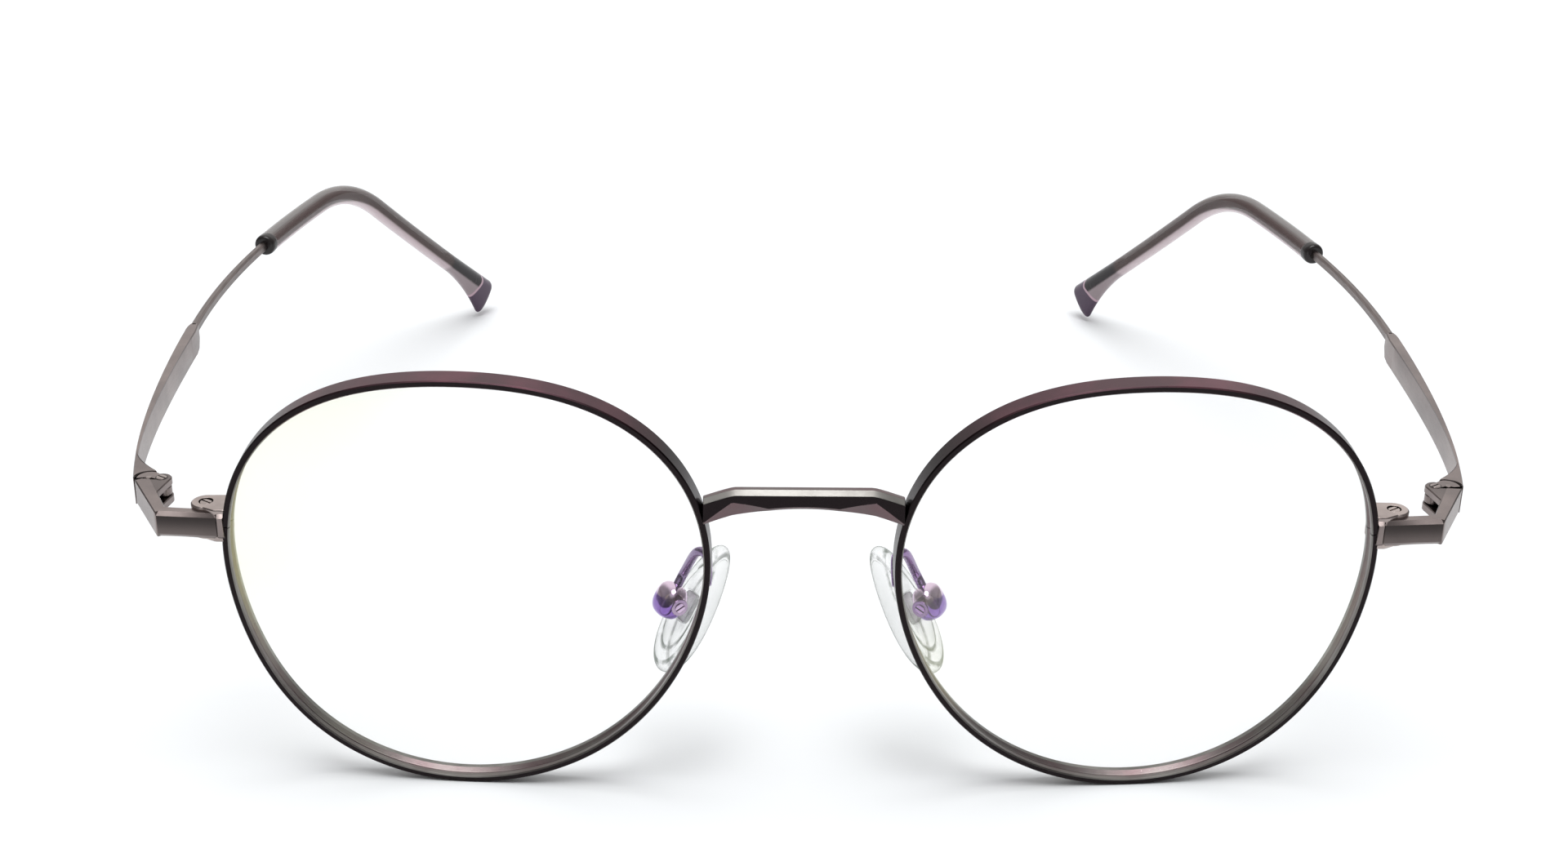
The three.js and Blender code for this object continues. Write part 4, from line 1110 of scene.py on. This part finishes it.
def pad_skin(settings):
    """Scaled teardrops stacked along y: pocket, back with a shallow groove, rounded rim, crowned soft face.

    On the rim the scale is 1 - r + r cos b and the height h sin b: r is the rounding, h the side's height.
    """
    half = settings.pad_thickness / MM / 2
    outline = pad_outline(settings, 72)
    pocket = squircle(*POCKET, 72)
    rings, share = [], []

    def ring(plan, y, out):
        rings.append(np.column_stack([plan[:, 0], np.broadcast_to(y, len(plan)), plan[:, 1]]))
        share.append(out)

    for scale, y in ((0.1, -0.42), (0.92, -0.4), (1.0, -0.5), (1.03, -half + 0.1), (1.12, -half)):
        ring(pocket * scale, y, 0.3 + 0.2 * (scale > 0.95))
    for scale in (0.6, 0.64, 0.68, 0.78):
        ring(outline * scale, -half + 0.2 * (0.62 < scale < 0.7), scale)
    side = 1 - PAD_ROUNDING
    for b in np.linspace(-np.pi / 2, np.pi / 2, 15):
        scale = side + PAD_ROUNDING * math.cos(b)
        ring(outline * scale, half * PAD_SIDE_HEIGHT * math.sin(b), scale)
    for scale in (0.78, 0.6, 0.45, 0.3, 0.12, 0.03):
        crown = (1 - PAD_SIDE_HEIGHT) * (1 - (scale / side) ** 2)
        ring(outline * scale, half * (PAD_SIDE_HEIGHT + crown), 0.5 * scale)
    return loft(rings, share)


def insert_skin():
    """The plate inside the pad and the tab that reaches back to the pad screw."""
    plate, tab = squircle(*INSERT, 48), squircle(*TAB, 48)
    levels = [(plate * 0.9, -0.42), (plate, -0.48), (plate, -0.9), (plate * 0.9, -0.95), (tab * 1.3, -1.0)]
    levels += [(tab, -1.2), (tab, -2.75), (tab * 0.96, -3.2), (tab * 0.75, -3.5), (tab * 0.3, -3.6)]
    return loft([np.column_stack([p[:, 0], np.full(48, y), p[:, 1]]) for p, y in levels])


def box_skin():
    """A cup: rounded rectangles that swell from the back pole, turn in at the mouth and go down to its floor.

    At the turn a the scale is cos a and the place sin a of the half depth, each to the power 2 / BOX_POWER.
    """
    outline = squircle(BOX_WIDTH / 2, BOX_LENGTH / 2, BOX_CORNER_POWER, 64)
    mouth = squircle(*MOUTH, 64)
    turn = np.linspace(-np.pi / 2 * 0.97, np.pi / 2 * 0.62, 22)
    swell = np.abs(np.cos(turn)) ** (2 / BOX_POWER)
    depth = np.sign(np.sin(turn)) * np.abs(np.sin(turn)) ** (2 / BOX_POWER)
    y = -BOX_FACE - BOX_DEPTH / 2 + BOX_DEPTH / 2 * depth
    lip = y[-1]
    levels = [(outline * scale, level) for scale, level in zip(swell, y)]
    levels += [((mouth + outline * swell[-1]) / 2, lip + 0.12), (mouth, lip + 0.05), (mouth, BOX_FLOOR)]
    levels += [(mouth * 0.9, BOX_FLOOR - 0.2), (mouth * 0.2, BOX_FLOOR - 0.25)]
    rings = [np.column_stack([plan[:, 0], np.full(64, level), plan[:, 1]]) for plan, level in levels]
    return loft(rings, band=2 * outline[:, 1] / BOX_LENGTH)


def pad_screw_skin(settings):
    """The slotted screw through the cup: its head stands in the cup's front side."""
    screw = screw_skin((0.0, 0.0), PAD_SCREW, -3.3, PAD_SEAT_HEIGHT, settings)
    plan = squircle(PAD_SEAT_RADIUS, PAD_SEAT_RADIUS, 2, 48)
    seat = slab(plan, np.zeros(2), 0.0, PAD_SEAT_HEIGHT, 0.05)
    seat.tone[:] = 0.9
    skin = screw + seat
    x, y, z = skin.points.T
    skin.points = np.stack([-BOX_WIDTH / 2 - z + PAD_SCREW_SINK, y - PAD_PIVOT, x], -1)
    return skin.outward()


def arm_skin(settings):
    """A round wire from the back of the rim, out in a bow and down into the top of the cup.

    Its path is the Hermite cubic through the bends, with the slope at each bend taken from its neighbours.
    """
    up = pad_axes()[2]
    entry = np.array([0.0, -BOX_FACE - BOX_DEPTH / 2, BOX_LENGTH / 2 - 0.4]) @ pad_axes() + PAD_CENTRE
    knots = np.array([*ARM_BENDS, entry + up * 2.0, entry])
    t = np.arange(len(knots))
    fine = np.linspace(0, len(knots) - 1, 90)
    tangents = np.gradient(knots, axis=0)
    base = np.minimum(fine.astype(int), len(knots) - 2)
    s = (fine - t[base])[:, None]
    a, b = knots[base], knots[base + 1]
    m, n = tangents[base], tangents[base + 1]
    path = (
        (2 * s**3 - 3 * s**2 + 1) * a
        + (s**3 - 2 * s**2 + s) * m
        + (3 * s**2 - 2 * s**3) * b
        + (s**3 - s**2) * n
    )
    share = np.linspace(0, 1, 90)
    radius = settings.arm_radius / MM * (1 - 0.15 * np.exp(-((share / 0.2) ** 2)))
    section = squircle(1, 1, 2, 20)[None] * radius[:, None, None]
    return tube(respaced(path, 90), section, up=(0.2, 0.9, 0.3))


# ---------------------------------------------------------------------------------------------
# Settings
# ---------------------------------------------------------------------------------------------


def length(name, description, default):
    """A length setting, given in millimetres."""
    return FloatProperty(
        name=name, description=description, default=default * MM, min=0.0, unit="LENGTH", precision=5
    )


def share(name, description, default):
    """A setting between 0 and 1."""
    return FloatProperty(
        name=name, description=description, default=default, min=0.0, max=1.0, subtype="FACTOR"
    )


def colour(name, description, default):
    """A linear colour setting."""
    return FloatVectorProperty(
        name=name, description=description, default=default, min=0.0, max=1.0, subtype="COLOR", size=3
    )


class RimSettings(bpy.types.PropertyGroup):
    """The two rims and their plating."""

    wire: length("Wire", "Radial thickness of the rim wire", 0.73)
    corner: length("Corner", "Size of the cut along the rim's edges", 0.13)
    groove: length("Groove depth", "Depth of the lens groove", 0.33)
    groove_mouth: length("Groove mouth", "Half width of the lens groove", 0.5)
    # Front is the plating painted darker as shade on front and lower faces; plum shows only near the rims'
    # tops, as a painted sheen.
    front: colour("Front", "Near-black plating of the front faces", (0.018, 0.014, 0.015))
    plum: colour("Plum", "Aubergine plating of the outer faces", (0.10, 0.055, 0.066))
    plum_warm: colour("Plum, warm", "Redder clouds in the plating", (0.16, 0.07, 0.09))
    inside: colour("Inside", "Lighter metal inside the rim", (0.25, 0.245, 0.23))
    inside_dark: colour("Inside, dark", "Darker clouds inside the rim", (0.14, 0.137, 0.127))
    roughness: share("Roughness", "Roughness of the plating", 0.24)


class LensSettings(bpy.types.PropertyGroup):
    """The two clear lenses."""

    edge: length("Edge", "Thickness at the rim", 0.9)
    front_bulge: length("Front bulge", "Height of the front dome", 2.9)
    back_bulge: length("Back bulge", "Height of the back dome", 2.7)
    tint: colour("Tint", "Body colour", (0.96, 0.99, 0.96))
    cloud: colour("Cloud", "Colour of the coating's pale clouds", (1.0, 1.0, 0.5))
    body: share("Cloud strength", "How much the clouds show", 0.09)
    # The glow is painted light: the lens emits it, though it is no lamp.
    painted_glow: share("Cloud glow", "Light the coating throws back", 0.5)


class BridgeSettings(bpy.types.PropertyGroup):
    """The bridge between the rims."""

    top_cut: length("Top cut", "Cut along the front's top edge", 0.5)
    facet_middle: length("Facet, middle", "Height of the lower facet in the middle", 0.34)
    facet_end: length("Facet, ends", "Height of the lower facet near the ends", 1.7)
    facet_place: length("Facet place", "Where along the bridge the facet is tallest", 7.1)


class MetalSettings(bpy.types.PropertyGroup):
    """The satin metal of the end pieces, locks and temples, and its screws."""

    colour: colour("Metal", "Rose-taupe satin metal", (0.265, 0.22, 0.21))
    shade: colour("Metal, shade", "Its darker clouds", (0.185, 0.155, 0.15))
    screw: colour("Screw", "Bright screw metal", (0.48, 0.41, 0.385))
    roughness: share("Roughness", "Roughness of the satin metal", 0.26)
    front_cut: length("Front cut", "Cut along the end piece's front edges", 0.4)
    side_cut: length("Side cut", "Cut along its other edges", 0.12)
    bar_cut: length("Bar cut", "Cut along the temple bar's edges", 0.14)
    edge_break: length("Edge break", "Width of the rounding on sharp edges", 0.045)
    slot_width: length("Slot width", "Width of a screw's slot", 0.18)
    slot_depth: length("Slot depth", "Depth of a screw's slot", 0.2)


class TempleSettings(bpy.types.PropertyGroup):
    """The temple wires and ear tips."""

    wire_width: length("Wire width", "Width of the temple wire", 0.95)
    wire_height: length("Wire height", "Height of the temple wire", 1.2)
    wire_cut: length("Wire cut", "Cut along the temple wire's edges", 0.24)
    core_height: length("Core height", "Height of the wire's flat end", 2.3)
    ring_radius: length("Ring radius", "Radius of the black ring", 1.39)
    sleeve_radius: length("Sleeve radius", "Radius of the ear tip", 1.35)
    paddle_drop: length("Paddle drop", "Reach of the flared end below the centreline", 4.54)
    sleeve: colour("Sleeve", "Ear tip where the wire shows through, magnified", (0.12, 0.085, 0.082))
    # The upper edge's grey is a painted reflection and the lower edge's pink is painted light through the
    # tip.
    sleeve_upper_reflection_band: colour("Sleeve, upper", "Ear tip along its upper edge", (0.17, 0.155, 0.15))
    sleeve_lower_lit_band: colour("Sleeve, lower", "Ear tip along its lower edge", (0.68, 0.56, 0.59))
    paddle: colour("Paddle", "Plum flared end", (0.085, 0.055, 0.09))
    paddle_rim: colour("Paddle rim", "Pale edge of the flared end", (0.35, 0.26, 0.33))
    core: colour("Core", "Wire seen through the ear tip", (0.07, 0.045, 0.045))
    core_flat: colour("Core, flat", "Flat end of the wire", (0.02, 0.015, 0.018))
    core_tip: colour("Core, tip", "Very end of the wire", (0.55, 0.38, 0.45))
    ring: colour("Ring", "Black ring", (0.012, 0.01, 0.01))


class PadSettings(bpy.types.PropertyGroup):
    """The nose pads and their mounts."""

    pad_length: length("Pad length", "Length of a nose pad", 15.0)
    pad_width: length("Pad width", "Width of a nose pad", 6.5)
    pad_thickness: length("Pad thickness", "Thickness of a nose pad", 2.3)
    pad_taper: share("Pad taper", "How much narrower the pad's top is", 0.22)
    arm_radius: length("Arm radius", "Radius of the pad arm wire", 0.5)
    silicone: colour("Silicone", "Clear silicone", (0.86, 0.88, 0.86))
    silicone_edge: colour("Silicone edge", "Silicone at its outline", (0.22, 0.25, 0.22))
    violet: colour("Violet", "Violet plating of the pad mounts", (0.22, 0.11, 0.42))
    violet_shade: colour("Violet, shade", "Its pinker clouds", (0.33, 0.20, 0.42))
    # The cups' pink-lilac upper half is a painted highlight over the violet plating; the pad screws use it as
    # their own colour.
    cup_top: colour("Cup top", "Pink-lilac upper half of the cups", (0.68, 0.53, 0.68))
    arm: colour("Arm", "Greyer violet of the pad arms", (0.24, 0.18, 0.30))


class StudioSettings(bpy.types.PropertyGroup):
    """Floor, light and camera."""

    floor: colour("Floor", "Pale plain floor", (0.87, 0.89, 0.905))
    key: FloatProperty(name="Key", description="Strength of the light from above", default=2.35, min=0.0)
    key_size: FloatProperty(
        name="Key size", description="Angle the light fills", default=math.radians(40), subtype="ANGLE"
    )
    fill: FloatProperty(name="Fill", description="Strength of the surrounding light", default=0.75, min=0.0)
    focal: FloatProperty(
        name="Focal length", description="Camera focal length, in millimetres", default=51.17, min=1.0
    )
    pitch: FloatProperty(
        name="Pitch", description="Camera's tilt below level", default=math.radians(24.447), subtype="ANGLE"
    )
    yaw: FloatProperty(
        name="Yaw", description="Camera's turn to its right", default=math.radians(1.007), subtype="ANGLE"
    )
    roll: FloatProperty(
        name="Roll", description="Camera's roll", default=math.radians(0.824), subtype="ANGLE"
    )


# ---------------------------------------------------------------------------------------------
# Operators
# ---------------------------------------------------------------------------------------------


class GLASSES_OT_rims(bpy.types.Operator):
    """Make both rims."""

    bl_idname = "glasses.rims"
    bl_label = "Rims"

    def execute(self, context):
        settings = context.scene.glasses_rims
        look = plated_finish(settings)
        add_pair("eyewire", rim_skin(settings), look, "front", ["rim"], 0.04)
        return {"FINISHED"}


class GLASSES_OT_lenses(bpy.types.Operator):
    """Make both lenses."""

    bl_idname = "glasses.lenses"
    bl_label = "Lenses"

    def execute(self, context):
        settings = context.scene.glasses_lenses
        add_pair("lens_shell", lens_skin(settings), lens_finish(settings), "front", ["lens"])
        return {"FINISHED"}


class GLASSES_OT_bridge(bpy.types.Operator):
    """Make the bridge."""

    bl_idname = "glasses.bridge"
    bl_label = "Bridge"

    def execute(self, context):
        skin = bridge_skin(context.scene.glasses_bridge)
        look = plated_finish(context.scene.glasses_rims)
        look.name = "bridge_plating"
        add_piece("bridge_bar", skin, look, "front", ["bridge"], 0.07, 22.0)
        return {"FINISHED"}


class GLASSES_OT_corners(bpy.types.Operator):
    """Make the end pieces, their hinge ears, pins and screws."""

    bl_idname = "glasses.corners"
    bl_label = "End pieces"

    def execute(self, context):
        metal = context.scene.glasses_metal
        look = satin_finish("satin_corner", metal.colour, metal.shade, metal.roughness)
        bright = satin_finish("bright_corner_screw", metal.screw, metal.shade, metal.roughness - 0.06)
        edge = metal.edge_break / MM
        add_pair("corner", end_piece_skin(metal), look, "front", ["end_piece"], edge)
        stud = slotted_disc(STUD_RADIUS, BAR_TOP - STUD_DEPTH, BAR_TOP + STUD_RISE, 0.02, 0.01, 0.06)
        add_pair("knuckle_pin", moved(stud, [*KNUCKLE, 0]), bright, "front", ["hinge_stud"])
        pin = screw_skin(HINGE, HINGE_SCREW, BAR_BOTTOM, BAR_TOP, metal)
        add_pair("hinge_pin", pin, bright, "front", ["hinge_screw"], 0.02)
        return {"FINISHED"}


class GLASSES_OT_locks(bpy.types.Operator):
    """Make the split blocks that close the rims, and their screws."""

    bl_idname = "glasses.locks"
    bl_label = "Rim locks"

    def execute(self, context):
        metal = context.scene.glasses_metal
        look = satin_finish("satin_lock", metal.screw, metal.colour, metal.roughness)
        bright = satin_finish("bright_lock_screw", metal.screw, metal.shade, metal.roughness - 0.06)
        outline = polar(LOCK_CENTRE, lock_outline(), 96)
        pocket = LOCK_POCKET_RADIUS, LOCK_POCKET_DEPTH
        upper = slab(outline, LOCK_CENTRE, LOCK_SPLIT + LOCK_SPLIT_HALF, LOCK_TOP, LOCK_WALL, *pocket)
        lower = slab(outline, LOCK_CENTRE, LOCK_BOTTOM, LOCK_SPLIT - LOCK_SPLIT_HALF, LOCK_WALL)
        edge = metal.edge_break / MM
        add_pair("lock_cap", upper, look, "front", ["rim_lock_top"], edge)
        add_pair("lock_base", lower, look, "front", ["rim_lock_bottom"], edge)
        screw = screw_skin(LOCK_CENTRE, LOCK_SCREW, LOCK_BOTTOM - 0.05, LOCK_TOP, metal)
        add_pair("lock_bolt", screw, bright, "front", ["rim_screw"], 0.02)
        return {"FINISHED"}


class GLASSES_OT_temples(bpy.types.Operator):
    """Make the temple bars and the wires behind them."""

    bl_idname = "glasses.temples"
    bl_label = "Temples"

    def execute(self, context):
        metal, settings = context.scene.glasses_metal, context.scene.glasses_temples
        look = satin_finish("satin_temple", metal.colour, metal.shade, metal.roughness)
        edge = metal.edge_break / MM
        add_pair("side_bar", bar_skin(metal), look, "temple", ["temple_bar"], edge)
        wire = wire_finish(metal, settings)
        add_pair("side_wire", wire_skin(settings), wire, "temple", ["temple_wire"], 0.05)
        return {"FINISHED"}


class GLASSES_OT_tips(bpy.types.Operator):
    """Make the ear tips and the rings at their mouths."""

    bl_idname = "glasses.tips"
    bl_label = "Ear tips"

    def execute(self, context):
        settings = context.scene.glasses_temples
        black = Finish("ring_black", IOR=1.5)
        black.shader.inputs["Specular IOR Level"].default_value = 0.3
        smudge = black.noise(700.0, 3.0)
        black.feed(
            Base_Color=black.mix(smudge, settings.ring, (0.03, 0.026, 0.026)),
            Roughness=0.14 + 0.16 * smudge,
            Normal=black.bump(smudge, 0.08, 0.00005),
        )
        add_pair("mouth_ring", ring_skin(settings), black.material, "temple", ["tip_ring"])
        look = sleeve_finish(settings)
        add_pair("ear_tip", sleeve_skin(settings), look, "temple", ["tip_sleeve"], sharp=60)
        return {"FINISHED"}


class GLASSES_OT_pads(bpy.types.Operator):
    """Make the nose pads and the inserts in them."""

    bl_idname = "glasses.pads"
    bl_label = "Nose pads"

    def execute(self, context):
        settings = context.scene.glasses_pads
        look = silicone_finish(settings)
        skin = on_pad(pad_skin(settings))
        add_pair("soft_pad", skin, look, "pad", ["nose_pad"], sharp=50)
        plate = Finish("insert_plastic", IOR=1.45)
        haze = plate.noise(1200.0, 3.0)
        edge = plate.facing(0.5) ** 1.5
        plate.feed(
            Base_Color=plate.mix(edge.step(0.1, 0.6), (0.62, 0.58, 0.64), (0.16, 0.14, 0.17)),
            Roughness=0.12 + 0.15 * haze,
            Alpha=(0.22 + 0.1 * haze + 0.9 * edge).clamped(),
            Normal=plate.bump(haze, 0.1, 0.00005),
        )
        core = on_pad(insert_skin())
        add_pair("pad_core", core, plate.material, "pad", ["pad_insert"], sharp=50)
        return {"FINISHED"}


class GLASSES_OT_pad_mounts(bpy.types.Operator):
    """Make the cups, arms and screws that hold the nose pads."""

    bl_idname = "glasses.pad_mounts"
    bl_label = "Pad mounts"

    def execute(self, context):
        settings, metal = context.scene.glasses_pads, context.scene.glasses_metal
        look = cup_finish(settings)
        bright = satin_finish("violet_screw", settings.cup_top, settings.violet_shade, 0.14, 0.4)
        add_pair("pad_cup", on_pad(box_skin()), look, "front", ["pad_box"], sharp=50)
        add_pair("pad_bolt", on_pad(pad_screw_skin(metal)), bright, "front", ["pad_screw"], 0.02)
        look = satin_finish("violet_arm", settings.arm, settings.violet_shade, 0.2)
        add_pair("pad_bow", arm_skin(settings), look, "front", ["pad_arm"], sharp=60)
        return {"FINISHED"}


class GLASSES_OT_studio(bpy.types.Operator):
    """Make the floor, the lights and the camera."""

    bl_idname = "glasses.studio"
    bl_label = "Studio"

    def execute(self, context):
        settings = context.scene.glasses_studio
        add_floor(settings)
        add_world(settings)
        add_key(settings)
        add_camera(settings)
        context.scene.view_settings.view_transform = "Standard"
        return {"FINISHED"}


def add_floor(settings):
    """A large flat disc under the object, in a pale finish with faint unevenness."""
    sides = 96
    angle = np.linspace(0, 2 * np.pi, sides, endpoint=False)
    radii = np.array([0.05, 0.3, 1.0, 4.0])
    flat = np.stack([np.cos(angle), np.sin(angle), 0 * angle], -1)
    points = (radii[:, None, None] * flat[None]).reshape(-1, 3)
    around = np.arange(sides)
    after = (around + 1) % sides
    quads = [
        np.stack([around, around + sides, after + sides, after], -1) + sides * k
        for k in range(len(radii) - 1)
    ]
    faces = np.vstack(quads).tolist() + [around.tolist()]
    mesh = bpy.data.meshes.new("floor")
    mesh.from_pydata(points.tolist(), [], faces)
    look = Finish("pale_floor", Roughness=0.7)
    look.shader.inputs["Specular IOR Level"].default_value = 0.1
    cloud = look.noise(3.0)
    shaded = [c * 0.985 for c in settings.floor]
    look.feed(Base_Color=look.mix(cloud, settings.floor, shaded))
    mesh.materials.append(look.material)
    floor = bpy.data.objects.new("floor", mesh)
    bpy.context.scene.collection.objects.link(floor)


def add_world(settings):
    """Pale light from all round: brightest behind the object, dark at its sides and low in front of it."""
    world = bpy.data.worlds.new("studio")
    world.use_nodes = True
    bpy.context.scene.world = world
    look = Finish("studio", world.node_tree)
    direction = look.node("ShaderNodeTexCoord", output="Generated")
    axes = look.node("ShaderNodeSeparateXYZ", {}, {"Vector": direction})
    ahead = Field(look, axes.socket.node.outputs["Y"])
    upward = Field(look, axes.socket.node.outputs["Z"])
    behind = ahead.step(-0.1, 0.7)
    front = (0.0 - ahead).step(0.15, 0.7) * (1.0 - upward).step(0.2, 0.6)
    beside = (Field(look, axes.socket.node.outputs["X"]) ** 2.0).step(0.1, 0.55)
    even = look.mix(behind, (0.75, 0.76, 0.77), (1.4, 1.38, 1.36))
    shaded = look.mix((front + 0.75 * beside).clamped(), even, (0.10, 0.09, 0.09))
    back = world.node_tree.nodes["Background"]
    look.join(back.inputs["Color"], shaded)
    back.inputs["Strength"].default_value = settings.fill


def add_key(settings):
    """A soft sun a little in front of straight overhead."""
    data = bpy.data.lights.new("key", "SUN")
    data.energy = settings.key
    data.angle = settings.key_size
    light = bpy.data.objects.new("key", data)
    light.rotation_euler = (math.radians(13), 0.0, 0.0)
    light.location = (0.0, -0.1, 0.5)
    bpy.context.scene.collection.objects.link(light)


def add_camera(settings):
    """The camera in front of and above the object, aimed by its yaw, pitch and roll."""
    data = bpy.data.cameras.new("camera")
    data.sensor_width = 36.0
    data.lens = settings.focal
    data.clip_start, data.clip_end = 0.01, 20.0
    camera = bpy.data.objects.new("camera", data)
    place = (CAMERA_PLACE + SHIFT) * MM
    yaw, pitch, roll = settings.yaw, settings.pitch, settings.roll
    forward = np.array([
        math.sin(yaw) * math.cos(pitch), math.cos(yaw) * math.cos(pitch), -math.sin(pitch)
    ])
    level = np.cross(forward, (0.0, 0.0, 1.0))
    level /= np.linalg.norm(level)
    high = np.cross(level, forward)
    right = level * math.cos(roll) + high * math.sin(roll)
    up = -level * math.sin(roll) + high * math.cos(roll)
    turn = np.eye(4)
    turn[:3, 0], turn[:3, 1], turn[:3, 2], turn[:3, 3] = right, up, -forward, place
    camera.matrix_world = Matrix(turn.tolist())
    bpy.context.scene.collection.objects.link(camera)
    bpy.context.scene.camera = camera


# ---------------------------------------------------------------------------------------------
# Panel and registration
# ---------------------------------------------------------------------------------------------

GROUPS = (
    ("glasses_rims", RimSettings),
    ("glasses_lenses", LensSettings),
    ("glasses_bridge", BridgeSettings),
    ("glasses_metal", MetalSettings),
    ("glasses_temples", TempleSettings),
    ("glasses_pads", PadSettings),
    ("glasses_studio", StudioSettings),
)
OPERATORS = (
    GLASSES_OT_studio,
    GLASSES_OT_rims,
    GLASSES_OT_lenses,
    GLASSES_OT_bridge,
    GLASSES_OT_corners,
    GLASSES_OT_locks,
    GLASSES_OT_temples,
    GLASSES_OT_tips,
    GLASSES_OT_pads,
    GLASSES_OT_pad_mounts,
)


class GLASSES_PT_panel(bpy.types.Panel):
    """The glasses' pieces and their settings."""

    bl_label = "Glasses"
    bl_idname = "GLASSES_PT_panel"
    bl_space_type = "VIEW_3D"
    bl_region_type = "UI"
    bl_category = "Glasses"

    def draw(self, context):
        for operator in OPERATORS:
            self.layout.operator(operator.bl_idname)
        for key, group in GROUPS:
            box = self.layout.box()
            box.label(text=group.__doc__)
            for name in group.__annotations__:
                box.prop(getattr(context.scene, key), name)


def register():
    """Registers the settings, operators and panel."""
    for key, group in GROUPS:
        bpy.utils.register_class(group)
        setattr(bpy.types.Scene, key, PointerProperty(type=group))
    for operator in OPERATORS:
        bpy.utils.register_class(operator)
    bpy.utils.register_class(GLASSES_PT_panel)


def unregister():
    """Takes them away again."""
    bpy.utils.unregister_class(GLASSES_PT_panel)
    for operator in reversed(OPERATORS):
        bpy.utils.unregister_class(operator)
    for key, group in reversed(GROUPS):
        delattr(bpy.types.Scene, key)
        bpy.utils.unregister_class(group)


def main():
    """Registers the settings, operators and panel, then runs every operator."""
    register()
    for operator in OPERATORS:
        group, action = operator.bl_idname.split(".")
        getattr(getattr(bpy.ops, group), action)()


if __name__ == "__main__":
    main()
